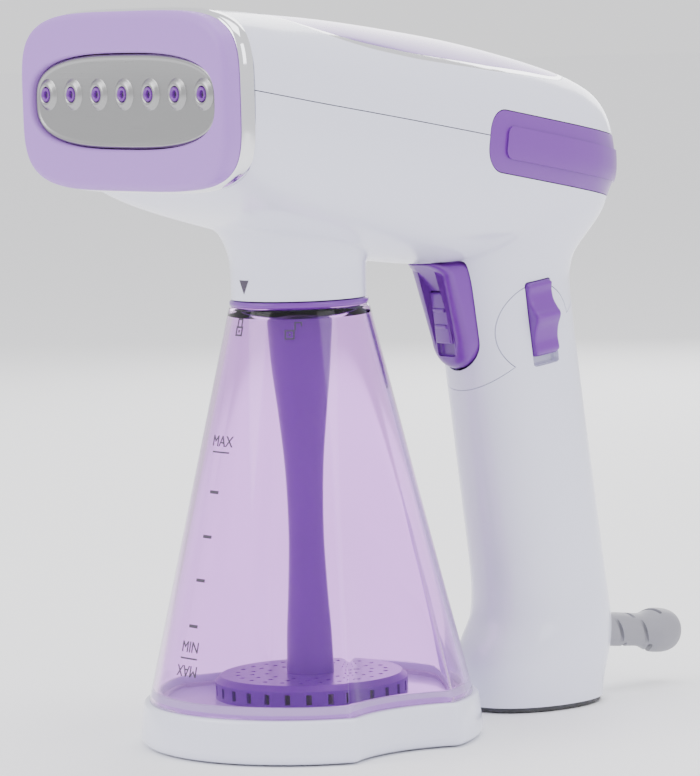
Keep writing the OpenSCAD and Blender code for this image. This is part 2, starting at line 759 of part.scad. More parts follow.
// ---- Trigger ----------------------------------------------------------------------------
// Frame at the trigger: -Y is out of the handle, Z follows the handle.
module on_trigger() translate([0, handle_front(lock_z), lock_z]) rotate([lean_turn, 0, 0]) children();
trigger_in = 5;
trigger_half = (trigger_top_z - trigger_low_z) / 2 + 1;
switch_front = 10;
plunger_tip = trigger_in + move_gap;
switch_hole_r = 1.5;
lock_w = 9;
hub_out_r = 4;
lock_t = 1.6;
module trigger() color(PURPLE)
    difference() {
        union() {
            on_trigger() {
                hull() {
                    for (z = [-trigger_half + trigger_w / 2, trigger_half - 4])
                        translate([0, trigger_in, z]) rotate([90, 0, 0]) {
                            cylinder(r = trigger_w / 2, h = trigger_in, $fn = 32);
                            cylinder(r = trigger_w / 2 - 1.6, h = trigger_in + 1.6, $fn = 32);
                            cylinder(r = trigger_w / 2 - 4.6, h = trigger_in + trigger_proud, $fn = 32);
                        }
                }
            }
            for (side = [-1, 1])
                translate([side * 7 - 1.5, pin_y - 4, pin_z - 18]) cube([3, 8, 18]);
            translate([-trigger_w / 2, pin_y, pin_z]) rotate([0, 90, 0])
                cylinder(r = hub_out_r, h = trigger_w, $fn = 32);
        }
        translate([-20, pin_y, pin_z]) rotate([0, 90, 0]) cylinder(r = pin_r + fit, h = 40, $fn = 32);
        on_trigger() translate([-lock_w / 2 - 0.3, -trigger_proud - 1, -lock_len / 2 - lock_travel - 0.4])
            cube([lock_w + 0.6, 1 + lock_t + 0.4, lock_len + lock_travel + 0.8]);
    }
pin_len = 2 * (ear_x + ear_t);
module trigger_pin() color(STEEL)
    translate([-pin_len / 2, pin_y, pin_z]) rotate([0, 90, 0]) cylinder(r = pin_r, h = pin_len, $fn = 32);
module trigger_lock() color(PURPLE)
    on_trigger() {
        translate([-lock_w / 2, -trigger_proud - 0.2, -lock_len / 2]) cube([lock_w, lock_t + 0.2, lock_len]);
        for (z = [-3, 3])
            translate([-lock_w / 2 + 1.2, -trigger_proud - 0.9, z - 0.5]) cube([lock_w - 2.4, 1, 1]);
    }
module trigger_spring() color(STEEL)
    on_trigger() translate([0, trigger_in, -11]) rotate([-90, 0, 0])
        difference() {
            cylinder(r = 3, h = switch_front - trigger_in, $fn = 32);
            translate([0, 0, -1]) cylinder(r = 2.3, h = 20, $fn = 32);
        }
module micro_switch() color(BLACK)
    on_trigger() difference() {
        translate([-5, switch_front, -15]) cube([10, 12, 24]);
        translate([0, switch_front - 1, 0]) rotate([-90, 0, 0])
            cylinder(r = switch_hole_r + fit, h = 9, $fn = 32);
    }
module switch_plunger() color(GREY)
    on_trigger() translate([0, plunger_tip, 0]) rotate([-90, 0, 0])
        cylinder(r = switch_hole_r, h = 9, $fn = 32);

// ---- Power slider -----------------------------------------------------------------------
module power_slider() color(PURPLE)
    on_power() {
        translate([-power_in, -power_w / 2, -power_len / 2]) cube([power_in + power_out, power_w, power_len]);
        translate([-0.5, -power_w / 2, -1]) rotate([-90, 0, 0])
            cylinder(r = power_ridge_r, h = power_w, $fn = 32);
    }
switch_clear = 6;
switch_size = [handle_w / 2 - power_in - 1 - switch_clear, 16, 26];
module power_switch() color(BLACK)
    on_power() translate([-switch_size[0] - power_in - 1, -switch_size[1] / 2, -switch_size[2] / 2 - 1])
        cube(switch_size);

// ---- Cord entry -------------------------------------------------------------------------
relief_z = 23.2;
relief_y = handle_mid(relief_z) + handle_d / 2;
relief_out = 8.4;
flange_t = 2;
relief_in = shell_wall + 4.6 + flange_t;
// Frame at the cord's entry: Z runs out of the handle's back, across the handle's axis.
module on_relief() translate([0, relief_y, relief_z]) rotate([-90 - lean_turn, 0, 0]) children();
module relief_hole() on_relief() translate([0, 0, -12]) cylinder(r = relief_r + seam, h = 24, $fn = 48);
module strain_relief() color(GREY)
    on_relief() difference() {
        union() {
            translate([0, 0, -relief_in]) cylinder(r = relief_r, h = relief_in, $fn = 48);
            translate([0, 0, -relief_in]) cylinder(r = relief_r + 2, h = flange_t, $fn = 48);
            cylinder(r1 = relief_r + 0.4, r2 = relief_r - 0.2, h = relief_len * 0.5, $fn = 48);
            translate([0, 0, relief_len * 0.5 - eps])
                cylinder(r1 = relief_r - 0.2, r2 = relief_out, h = relief_len * 0.27, $fn = 48);
            translate([0, 0, relief_len * 0.77 - eps])
                cylinder(r1 = relief_out, r2 = relief_out - 1, h = relief_len * 0.12, $fn = 48);
            translate([0, 0, relief_len * 0.89 - eps])
                cylinder(r1 = relief_out - 1, r2 = cord_r + 1.6, h = relief_len * 0.11, $fn = 48);
        }
        translate([0, 0, -30]) cylinder(r = cord_r, h = far / 2, $fn = 48);
    }
clamp_y = handle_y - 6;
clamp_z = 30;
clamp_screw_x = 8.5;
module cord_clamp() color(BLACK)
    translate([0, clamp_y, clamp_z]) difference() {
        translate([-12, -4, -3]) cube([24, 8, 6]);
        rotate([-90, 0, 0]) translate([0, 2, -5]) cylinder(r = cord_r, h = 10, $fn = 32);
        for (side = [-1, 1]) translate([side * clamp_screw_x, 0, -4])
            cylinder(r = foot_screw_r + fit, h = 8, $fn = 24);
    }
module clamp_screws() color(STEEL)
    for (side = [-1, 1]) translate([side * clamp_screw_x, clamp_y, clamp_z]) {
        translate([0, 0, -8]) cylinder(r = foot_screw_r, h = 11 + eps, $fn = 24);
        translate([0, 0, 3]) cylinder(r = 2.7, h = 1.6, $fn = 24);
    }
module terminal_block() color(SILICONE)
    translate([-11, handle_mid(75) - 6, 68]) difference() {
        cube([22, 12, 14]);
        for (x = [5.5, 11, 16.5]) translate([x, 6, -1]) cylinder(r = 1.8, h = 16, $fn = 24);
    }

// ---- Water tank -------------------------------------------------------------------------
tank_slope = (tank_foot_r - tank_top_r) / (tank_height - cap_h);
scoop_x = tank_foot_r - scoop_depth;
scoop_turn = atan(tank_slope * 0.66);
function tank_r(z) = tank_top_r + tank_slope * (tank_height - z);
module scoops(grow, sides = 240) for (side = [0, 180])
    rotate([0, 0, side]) translate([scoop_x, 0, cap_h]) rotate([0, -scoop_turn, 0])
        translate([scoop_r, 0, -80]) cylinder(r = scoop_r + grow, h = 320, $fn = sides);
// The tank's outer form between two heights, drawn in by an inset all round.
module tank_form(inset, low, high)
    difference() {
        translate([0, 0, low])
            cylinder(r1 = tank_r(low) - inset, r2 = tank_r(high) - inset, h = high - low, $fn = 240);
        scoops(inset);
    }
// The same form stacked from slices, for the thin shell.
SHELL_STEPS = 8;
SHELL_SIDES = 96;
function shell_ring(z, inset) = [for (k = [0:SHELL_SIDES - 1]) let (g = 360 * k / SHELL_SIDES)
    [(tank_r(z) - inset) * cos(g), (tank_r(z) - inset) * sin(g), z]];
module shell_form(inset, low, high)
    difference() {
        for (k = [0:SHELL_STEPS - 1])
            slice(shell_ring(low + (high - low) * k / SHELL_STEPS, inset),
                shell_ring(low + (high - low) * (k + 1) / SHELL_STEPS, inset));
        scoops(inset, 128);
    }
tank_neck_z = lug_z + lug_t + 3.4;
tank_neck_wall = 2;
module tank_shell() color(TINT, 0.5)
    difference() {
        union() {
            shell_form(0, cap_h + seam, tank_height - 1.6);
            translate([0, 0, tank_height - 4])
                cylinder(r = throat_r, h = tank_neck_z - tank_height + 4, $fn = 72);
            for (k = [0:lug_count - 1]) rotate([0, 0, 360 * k / lug_count])
                translate([0, 0, lug_z]) sector(throat_r - 0.5, lug_r, lug_angle, lug_t);
        }
        shell_form(tank_wall, cap_h - 1, tank_height - 6);
        translate([0, 0, tank_height - 8]) cylinder(r = throat_r - tank_neck_wall, h = 40, $fn = 72);
    }
module tank_ring() color(PURPLE)
    difference() {
        translate([0, 0, tank_height - 1.5]) cylinder(r = tank_top_r + 0.2, h = 2, $fn = 72);
        translate([0, 0, tank_height - 3]) cylinder(r = throat_r + fit, h = 6, $fn = 72);
    }
module tank_seal() color(RUBBER)
    translate([0, 0, tank_neck_z]) difference() {
        cylinder(r = throat_r - 0.3, h = 1.2, $fn = 64);
        translate([0, 0, -1]) cylinder(r = throat_r - tank_neck_wall + 0.2, h = 4, $fn = 64);
    }
base_round = 4;
base_wall = 2.4;
floor_t = 2.5;
plug_h = 4;
hub_r = 12;
module base_form(inset, low)
    difference() {
        rotate_extrude($fn = 96) polygon(concat(
            [[0, low], [tank_r(0) + cap_lip - base_round - 2.5 - inset, low]],
            [for (g = [-60:30:0])
                [tank_r(0) + cap_lip - base_round - 2.5 - inset + base_round * cos(g),
                    max(low, base_round + base_round * sin(g))]],
            [[tank_r(cap_h) + cap_lip - 1 - inset, cap_h], [0, cap_h]]
        ));
        scoops(inset - cap_lip + 1);
    }
module tank_base() color(WHITE) {
    difference() {
        base_form(0, 0);
        difference() {
            translate([0, 0, -1]) base_form(base_wall, -1);
            translate([0, 0, cap_h - floor_t]) cylinder(r = far, h = far);
            translate([0, 0, -far / 2]) cylinder(r = hub_r, h = far, $fn = 48);
        }
    }
    difference() {
        tank_form(tank_wall + 0.2, cap_h - eps, cap_h + plug_h);
        tank_form(tank_wall + 2.2, cap_h - 1, cap_h + plug_h + 1);
    }
}
module base_seal() color(RUBBER)
    difference() {
        tank_form(tank_wall + 2.3, cap_h, cap_h + 1.5);
        tank_form(tank_wall + 4, cap_h - 1, cap_h + 3);
    }
// Suction tube: [share of its height, radius].
tube_low = cap_h + strainer_h;
tube_top = tank_height + 8;
TUBE = [
    [0, 8.4], [0.1, 8.0], [0.22, 7.0], [0.36, 6.3], [0.52, 6.9],
    [0.66, 8.7], [0.78, 10.6], [0.9, 11.7], [1, 12]
];
tube_steps = 16;
tube_wall = 1.5;
function tube_point(k, inset) = let (s = k / tube_steps)
    [curve(TUBE, 1, s) - inset, tube_low + s * (tube_top - tube_low)];
module suction_tube() color(PURPLE)
    rotate_extrude($fn = 64) polygon(concat(
        [for (k = [0:tube_steps]) tube_point(k, 0)],
        [for (k = [tube_steps:-1:0]) tube_point(k, tube_wall)]
    ));
module tank_valve() color(GREY)
    translate([0, 0, tube_top + 0.1]) difference() {
        cylinder(r = throat_r - tank_neck_wall - 0.1, h = 1.4, $fn = 64);
        translate([0, 0, -1]) cylinder(r = 4, h = 4, $fn = 48);
        for (k = [0:5]) rotate([0, 0, 60 * k + 30]) translate([12.6, 0, -1])
            cylinder(r = 1, h = 4, $fn = 24);
    }
slot_count = 28;
slot_w = 2;
strainer_wall = 1.6;
module strainer() color(PURPLE)
    translate([0, 0, cap_h]) difference() {
        union() {
            cylinder(r = strainer_r, h = strainer_h - 2, $fn = 96);
            translate([0, 0, strainer_h - 2]) cylinder(r1 = strainer_r, r2 = strainer_r - 2, h = 2, $fn = 96);
        }
        translate([0, 0, -1]) cylinder(r = strainer_r - strainer_wall, h = strainer_h - 1.6, $fn = 96);
        translate([0, 0, -1]) cylinder(r = 6, h = 20, $fn = 48);
        for (k = [0:slot_count - 1]) rotate([0, 0, 360 * k / slot_count])
            translate([strainer_r - 3, -slot_w / 2, 1.4]) cube([6, slot_w, strainer_h - 4.4]);
        for (ring = [0:2]) for (k = [0:11 + 6 * ring]) rotate([0, 0, 360 * k / (12 + 6 * ring)])
            translate([strainer_r * 0.46 + ring * 5.2, 0, -1]) cylinder(r = 0.9, h = 20, $fn = 16);
    }
// Level marks on the front of the tank: [height, width of the bar].
MARKS = [[105, 8], [91, 4.4], [76, 4.4], [61, 4.4], [45.5, 4.4], [34.5, 8]];
mark_t = 0.3;
mark_w = 0.8;
module tank_marks() color(BLACK)
    for (m = MARKS) let (z = m[0] * tank_height / 156)
        rotate([0, 0, -90]) translate([0, 0, z]) rotate([0, 0, -m[1] * 29 / tank_r(z)])
            rotate_extrude(angle = m[1] * 58 / tank_r(z), $fn = 96)
                translate([tank_r(z - mark_w / 2) + 0.06, -mark_w / 2]) square([mark_t, mark_w]);

upper_housing();
lower_housing();
handle_shell();
foot_plate();
foot_screws();
neck_collar();
top_cover();
top_trim();
rear_grip();
chrome_band();
face_bezel();
plate_gasket();
nozzle_plate();
nozzle_tips();
steam_chamber();
chamber_lid();
heating_element();
heat_shield();
chamber_screws();
thermostat();
thermal_fuse();
water_hose();
inlet_hose();
pump_coil();
pump_frame();
pump_tube();
pump_mounts();
pump_spring();
pump_plunger();
control_board();
bayonet_ring();
inlet_nozzle();
neck_seal();
micro_switch();
switch_plunger();
trigger();
trigger_pin();
trigger_spring();
trigger_lock();
power_switch();
power_slider();
terminal_block();
cord_clamp();
clamp_screws();
strain_relief();
tank_shell();
tank_base();
base_seal();
tank_ring();
tank_seal();
tank_valve();
suction_tube();
strainer();
tank_marks();
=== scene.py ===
"""Handheld garment steamer: moulded shells, clear tank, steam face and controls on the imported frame."""
import json
import logging
import math
from contextlib import contextmanager
from dataclasses import dataclass, field
from enum import Enum
from typing import Callable, Iterator, Sequence

import bpy
from mathutils import Matrix, Vector


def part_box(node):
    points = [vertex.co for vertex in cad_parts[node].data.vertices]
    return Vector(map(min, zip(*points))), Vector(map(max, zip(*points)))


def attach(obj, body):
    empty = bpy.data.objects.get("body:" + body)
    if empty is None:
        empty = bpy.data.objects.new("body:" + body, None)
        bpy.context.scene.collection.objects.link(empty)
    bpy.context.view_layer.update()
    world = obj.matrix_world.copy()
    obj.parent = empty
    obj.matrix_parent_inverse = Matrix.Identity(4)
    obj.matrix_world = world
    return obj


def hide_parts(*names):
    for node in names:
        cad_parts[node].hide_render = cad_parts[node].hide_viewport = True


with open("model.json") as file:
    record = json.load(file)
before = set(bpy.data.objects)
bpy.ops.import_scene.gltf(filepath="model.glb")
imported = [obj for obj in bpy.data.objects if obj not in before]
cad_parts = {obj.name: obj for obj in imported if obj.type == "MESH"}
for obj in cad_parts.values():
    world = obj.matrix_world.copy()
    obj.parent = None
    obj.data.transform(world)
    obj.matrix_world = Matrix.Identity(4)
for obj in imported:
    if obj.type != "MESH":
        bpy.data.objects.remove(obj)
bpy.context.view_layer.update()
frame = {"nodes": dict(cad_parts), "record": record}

LOG = logging.getLogger("steamer")
MM = 0.001
FULL = 2 * math.pi
QUARTER = math.pi / 2
MERGE = 0.000004
Point = tuple[float, float, float]
Flat = tuple[float, float]
Ring = list[Point]


# ---- Working the mesh ----


def deselect_all() -> None:
    """Leaves nothing selected and nothing in edit mode."""
    if bpy.context.object and bpy.context.object.mode != "OBJECT":
        bpy.ops.object.mode_set(mode="OBJECT")
    bpy.ops.object.select_all(action="DESELECT")


def only(piece: bpy.types.Object) -> None:
    """Selects one piece and makes it active.

    Args:
        piece: the object to work on.
    """
    deselect_all()
    piece.select_set(True)
    bpy.context.view_layer.objects.active = piece


@contextmanager
def editing(piece: bpy.types.Object, pick: str = "SELECT") -> Iterator[None]:
    """Opens a piece in edit mode and closes it again.

    Args:
        piece: the piece, which is the active object.
        pick: what happens to the selection first.

    Yields:
        Nothing; the piece is in edit mode inside the block.
    """
    bpy.context.view_layer.objects.active = piece
    bpy.ops.object.mode_set(mode="EDIT")
    bpy.ops.mesh.select_all(action=pick)
    yield
    bpy.ops.object.mode_set(mode="OBJECT")


def superellipse(half_w: float, up: float, down: float, power: float, count: int) -> list[Flat]:
    """Evenly spread points of a rounded outline whose upper and lower halves may differ.

    Args:
        half_w: half width.
        up: height above the middle.
        down: depth below the middle.
        power: 2 is an ellipse, more is squarer.
        count: number of points, a multiple of 4.

    Returns:
        The points, anticlockwise from +X.
    """
    spots = []
    for k in range(count):
        c, s = math.cos(FULL * k / count), math.sin(FULL * k / count)
        grow = (abs(c) ** power + abs(s) ** power) ** (-1 / power)
        spots.append((half_w * grow * c, (up if s > 0 else down) * grow * s))
    return spots


def loft(name: str, rings: Sequence[Ring], loop: bool = False) -> bpy.types.Object:
    """Extrudes a disc section by section and sets each section's points, in millimetres.

    Args:
        name: name of the new piece.
        rings: sections with one point count, a multiple of 4.
        loop: joins the last section back to the first, for a piece with a hole through it.

    Returns:
        The closed piece.
    """
    sections = [*rings, rings[0]] if loop else list(rings)
    count = len(sections[0])
    deselect_all()
    bpy.ops.mesh.primitive_circle_add(vertices=count, radius=1, fill_type="NGON")
    piece = bpy.context.object
    piece.name = piece.data.name = name
    with editing(piece):
        for _ in sections[1:]:
            bpy.ops.mesh.extrude_region_move(TRANSFORM_OT_translate={"value": (0, 0, 1)})
    for vertex in piece.data.vertices:
        turn = math.atan2(vertex.co.y, vertex.co.x) / FULL
        vertex.co = Vector(sections[round(vertex.co.z)][round(turn * count) % count]) * MM
    if loop:
        with editing(piece, "DESELECT"):
            pass
        for face in piece.data.polygons:
            face.select = len(face.vertices) == count
        bpy.ops.object.mode_set(mode="EDIT")
        bpy.ops.mesh.delete(type="FACE")
        bpy.ops.object.mode_set(mode="OBJECT")
    tidy_mesh(piece)
    return piece


def tidy_mesh(piece: bpy.types.Object) -> None:
    """Merges doubled points and turns every face outwards.

    Args:
        piece: a closed piece.
    """
    only(piece)
    with editing(piece):
        bpy.ops.mesh.remove_doubles(threshold=MERGE)
        bpy.ops.mesh.normals_make_consistent(inside=False)


def turned(name: str, profile: Sequence[Flat], count: int = 96, loop: bool = True) -> bpy.types.Object:
    """Turns a profile of (radius, height) about +Z.

    Args:
        name: name of the new piece.
        profile: the section's corners in order.
        count: points round the piece.
        loop: joins the profile's end to its start.

    Returns:
        The turned piece.
    """
    rings = [[(r * math.cos(FULL * k / count), r * math.sin(FULL * k / count), z) for k in range(count)]
             for r, z in profile]
    return loft(name, rings, loop)


def prism(name: str, outline: Sequence[Flat], low: float, high: float) -> bpy.types.Object:
    """Raises a flat outline from one height to another.

    Args:
        name: name of the new piece.
        outline: corners in XY.
        low: bottom height.
        high: top height.

    Returns:
        The raised piece.
    """
    spare = -len(outline) % 4
    first, last = outline[0], outline[-1]
    spots = list(outline) + [tuple(last[i] + (first[i] - last[i]) * (k + 1) / (spare + 1) for i in (0, 1))
                             for k in range(spare)]
    return loft(name, [[(x, y, z) for x, y in spots] for z in (low, high)])


def rounded_block(name: str, low: Point, high: Point, radius: float, segments: int = 4) -> bpy.types.Object:
    """A block with every edge rounded.

    Args:
        name: name of the new piece.
        low: lowest corner.
        high: highest corner.
        radius: edge radius.
        segments: steps across each rounded edge.

    Returns:
        The block.
    """
    deselect_all()
    middle = [(a + b) / 2 * MM for a, b in zip(low, high)]
    bpy.ops.mesh.primitive_cube_add(size=1, location=middle, scale=[(b - a) * MM for a, b in zip(low, high)])
    piece = bpy.context.object
    piece.name = piece.data.name = name
    bpy.ops.object.transform_apply(location=True, rotation=True, scale=True)
    if radius:
        with editing(piece):
            bpy.ops.mesh.bevel(offset=radius * MM, segments=segments, affect="EDGES")
    return piece


def move(piece: bpy.types.Object, place: Matrix) -> bpy.types.Object:
    """Puts a piece in place and bakes that into its mesh.

    Args:
        piece: the piece, drawn about the origin.
        place: where it goes, in metres.

    Returns:
        The same piece.
    """
    piece.data.transform(place @ piece.matrix_basis)
    piece.matrix_basis = Matrix.Identity(4)
    return piece


def at(x: float, y: float, z: float, turn_x: float = 0.0, turn_z: float = 0.0) -> Matrix:
    """A place in millimetres with turns in radians about X and then Z."""
    spot = Matrix.Translation(Vector((x, y, z)) * MM)
    return spot @ Matrix.Rotation(turn_z, 4, "Z") @ Matrix.Rotation(turn_x, 4, "X")


def half_space(origin: Point, normal: Point) -> bpy.types.Object:
    """A huge block whose one face lies on a plane.

    Args:
        origin: a point of the plane.
        normal: the way into the block.

    Returns:
        The block.
    """
    way = Vector(normal).normalized()
    size = 700
    block = rounded_block("cutter", (-size / 2,) * 2 + (0,), (size / 2, size / 2, size), 0)
    return move(block, Matrix.Translation(Vector(origin) * MM) @ way.to_track_quat("Z",
                                                                                   "Y").to_matrix().to_4x4())


def copy_of(piece: bpy.types.Object, name: str) -> bpy.types.Object:
    """A copy with its own mesh."""
    twin = piece.copy()
    twin.data = piece.data.copy()
    twin.name = twin.data.name = name
    bpy.context.collection.objects.link(twin)
    return twin


class Cut(Enum):
    """How one solid works on another."""

    AWAY = "DIFFERENCE"
    WITHIN = "INTERSECT"
    JOIN = "UNION"


def carve(piece: bpy.types.Object, tool: bpy.types.Object, cut: Cut = Cut.AWAY, keep: bool = False) -> None:
    """Cuts, keeps or joins with another solid.

    Args:
        piece: the solid that is changed.
        tool: the solid that changes it.
        cut: what is done.
        keep: leaves the tool for another use.
    """
    only(piece)
    step = piece.modifiers.new("carve", "BOOLEAN")
    step.operation, step.solver, step.object = cut.value, "MANIFOLD", tool
    bpy.ops.object.modifier_apply(modifier=step.name)
    if not keep:
        bpy.data.objects.remove(tool, do_unlink=True)


def smooth(piece: bpy.types.Object, angle: float = 35.0) -> None:
    """Shades a piece smooth across edges flatter than an angle in degrees."""
    only(piece)
    bpy.ops.object.shade_smooth_by_angle(angle=math.radians(angle))


def join(name: str, parts: Sequence[bpy.types.Object]) -> bpy.types.Object:
    """Joins pieces into one object.

    Args:
        name: name of the result.
        parts: the pieces.

    Returns:
        The joined object.
    """
    only(parts[0])
    for part in parts[1:]:
        part.select_set(True)
    if len(parts) > 1:
        bpy.ops.object.join()
    parts[0].name = parts[0].data.name = name
    return parts[0]


# ---- Finishes ----


def new_group(name: str, inputs: dict[str, float | tuple], outputs: dict[str, str]) -> bpy.types.NodeTree:
    """Starts a shader node group.

    Args:
        name: the group's name.
        inputs: each input's name and default; a tuple is a colour.
        outputs: each output's name and socket type.

    Returns:
        The group, with its input and output nodes in it.
    """
    tree = bpy.data.node_groups.new(name, "ShaderNodeTree")
    for label, default in inputs.items():
        kind = "NodeSocketColor" if isinstance(default, tuple) else "NodeSocketFloat"
        tree.interface.new_socket(label, in_out="INPUT", socket_type=kind).default_value = default
    for label, kind in outputs.items():
        tree.interface.new_socket(label, in_out="OUTPUT", socket_type=kind)
    tree.nodes.new("NodeGroupInput").name = "in"
    tree.nodes.new("NodeGroupOutput").name = "out"
    return tree


class Effects:
    """Node groups that several finishes share."""

    def __init__(self) -> None:
        """Builds every group once."""
        self.grain = self._grain("moulded_grain", (1.0, 1.0, 1.0))
        self.brush = self._grain("brushed_grain", (0.02, 1.0, 1.0))
        self.wear = self._wear()
        self.dust = self._dust()

    def _grain(self, name: str, stretch: Point) -> bpy.types.NodeTree:
        """Fine noise as a height and a roughness.

        Args:
            name: the group's name.
            stretch: how the noise is drawn out along each axis.

        Returns:
            The group.
        """
        tree = new_group(name, {"Scale": 900.0, "Roughness": 0.4, "Spread": 0.08},
                         {"Height": "NodeSocketFloat", "Roughness": "NodeSocketFloat"})
        put, link = tree.nodes.new, tree.links.new
        start, end = tree.nodes["in"], tree.nodes["out"]
        place, mapping, noise = put("ShaderNodeTexCoord"), put("ShaderNodeMapping"), put("ShaderNodeTexNoise")
        mapping.inputs["Scale"].default_value = stretch
        noise.inputs["Detail"].default_value = 3
        link(place.outputs["Object"], mapping.inputs["Vector"])
        link(mapping.outputs["Vector"], noise.inputs["Vector"])
        link(start.outputs["Scale"], noise.inputs["Scale"])
        centred, spread, total = put("ShaderNodeMath"), put("ShaderNodeMath"), put("ShaderNodeMath")
        centred.operation, spread.operation, total.operation = "SUBTRACT", "MULTIPLY", "ADD"
        centred.inputs[1].default_value = 0.5
        link(noise.outputs["Fac"], centred.inputs[0])
        link(centred.outputs[0], spread.inputs[0])
        link(start.outputs["Spread"], spread.inputs[1])
        link(spread.outputs[0], total.inputs[0])
        link(start.outputs["Roughness"], total.inputs[1])
        link(noise.outputs["Fac"], end.inputs["Height"])
        link(total.outputs[0], end.inputs["Roughness"])
        return tree

    def _wear(self) -> bpy.types.NodeTree:
        """Lightens the edges that hands rub.

        Returns:
            The group.
        """
        tree = new_group("edge_wear", {"Color": (1, 1, 1, 1), "Worn": (1, 1, 1, 1), "Amount": 0.3},
                         {"Color": "NodeSocketColor"})
        put, link = tree.nodes.new, tree.links.new
        shape, limit = put("ShaderNodeNewGeometry"), put("ShaderNodeMapRange")
        limit.inputs["From Min"].default_value, limit.inputs["From Max"].default_value = 0.53, 0.64
        link(shape.outputs["Pointiness"], limit.inputs["Value"])
        self._blend(tree, limit.outputs["Result"], "Worn")
        return tree

    def _blend(self, tree: bpy.types.NodeTree, mask: bpy.types.NodeSocket, second: str) -> None:
        """Ends a group by mixing its two colours by a mask and its amount.

        Args:
            tree: the group.
            mask: where the second colour shows.
            second: name of the second colour's input.
        """
        put, link = tree.nodes.new, tree.links.new
        start, end = tree.nodes["in"], tree.nodes["out"]
        amount, mix = put("ShaderNodeMath"), put("ShaderNodeMix")
        amount.operation, mix.data_type = "MULTIPLY", "RGBA"
        link(mask, amount.inputs[0])
        link(start.outputs["Amount"], amount.inputs[1])
        link(amount.outputs[0], mix.inputs["Factor"])
        link(start.outputs["Color"], mix.inputs[6])
        link(start.outputs[second], mix.inputs[7])
        link(mix.outputs[2], end.inputs["Color"])

    def _dust(self) -> bpy.types.NodeTree:
        """A faint cloudy change of tone, and a mask of it.

        Returns:
            The group.
        """
        tree = new_group("cloudy_tone", {"Color": (1, 1, 1, 1), "Tone": (0.5, 0.5, 0.5, 1), "Amount": 0.1,
                                         "Scale": 14.0},
                         {"Color": "NodeSocketColor", "Mask": "NodeSocketFloat"})
        put, link = tree.nodes.new, tree.links.new
        start, end = tree.nodes["in"], tree.nodes["out"]
        place, noise = put("ShaderNodeTexCoord"), put("ShaderNodeTexNoise")
        link(place.outputs["Object"], noise.inputs["Vector"])
        link(start.outputs["Scale"], noise.inputs["Scale"])
        link(noise.outputs["Fac"], end.inputs["Mask"])
        self._blend(tree, noise.outputs["Fac"], "Tone")
        return tree


class Surface(Enum):
    """How a finish's fine surface runs."""

    MOULDED = "grain"
    BRUSHED = "brush"


@dataclass(frozen=True)
class Finish:
    """One material: its colour, gloss and fine surface."""

    name: str
    color: Point
    tone: Point
    roughness: float = 0.3
    spread: float = 0.06
    surface: Surface = Surface.MOULDED
    grain: float = 900.0
    depth: float = 0.02
    wear: float = 0.15
    cloud: float = 0.12
    metallic: float = 0.0
    coat: float = 0.0
    clear: float = 0.0
    ior: float = 1.5

    def material(self, effects: Effects) -> bpy.types.Material:
        """Builds the material.

        Args:
            effects: the shared node groups.

        Returns:
            The material.
        """
        made = bpy.data.materials.new(self.name)
        made.use_nodes = True
        tree = made.node_tree
        shader = tree.nodes["Principled BSDF"]
        for label, value in (("Metallic", self.metallic), ("Coat Weight", self.coat),
                             ("Coat Roughness", 0.08),
                             ("Transmission Weight", self.clear), ("IOR", self.ior)):
            shader.inputs[label].default_value = value
        grain, wear, cloud = (self._placed(tree, group) for group in
                              (getattr(effects, self.surface.value), effects.wear, effects.dust))
        bump = tree.nodes.new("ShaderNodeBump")
        bump.inputs["Strength"].default_value = self.depth
        bump.inputs["Distance"].default_value = 0.0004
        for node, values in ((grain, {"Scale": self.grain, "Roughness": self.roughness,
                                      "Spread": self.spread}),
                             (cloud, {"Color": (*self.color, 1), "Tone": (*self.tone, 1),
                                      "Amount": self.cloud}),
                             (wear, {"Worn": (*(min(1, c * 1.25 + 0.06) for c in self.color), 1),
                                     "Amount": self.wear})):
            for label, value in values.items():
                node.inputs[label].default_value = value
        link = tree.links.new
        link(cloud.outputs["Color"], wear.inputs["Color"])
        link(wear.outputs["Color"], shader.inputs["Base Color"])
        link(grain.outputs["Roughness"], shader.inputs["Roughness"])
        link(grain.outputs["Height"], bump.inputs["Height"])
        link(bump.outputs["Normal"], shader.inputs["Normal"])
        return made

    def _placed(self, tree: bpy.types.NodeTree, group: bpy.types.NodeTree) -> bpy.types.Node:
        """A group placed in a material's tree."""
        node = tree.nodes.new("ShaderNodeGroup")
        node.node_tree = group
        return node


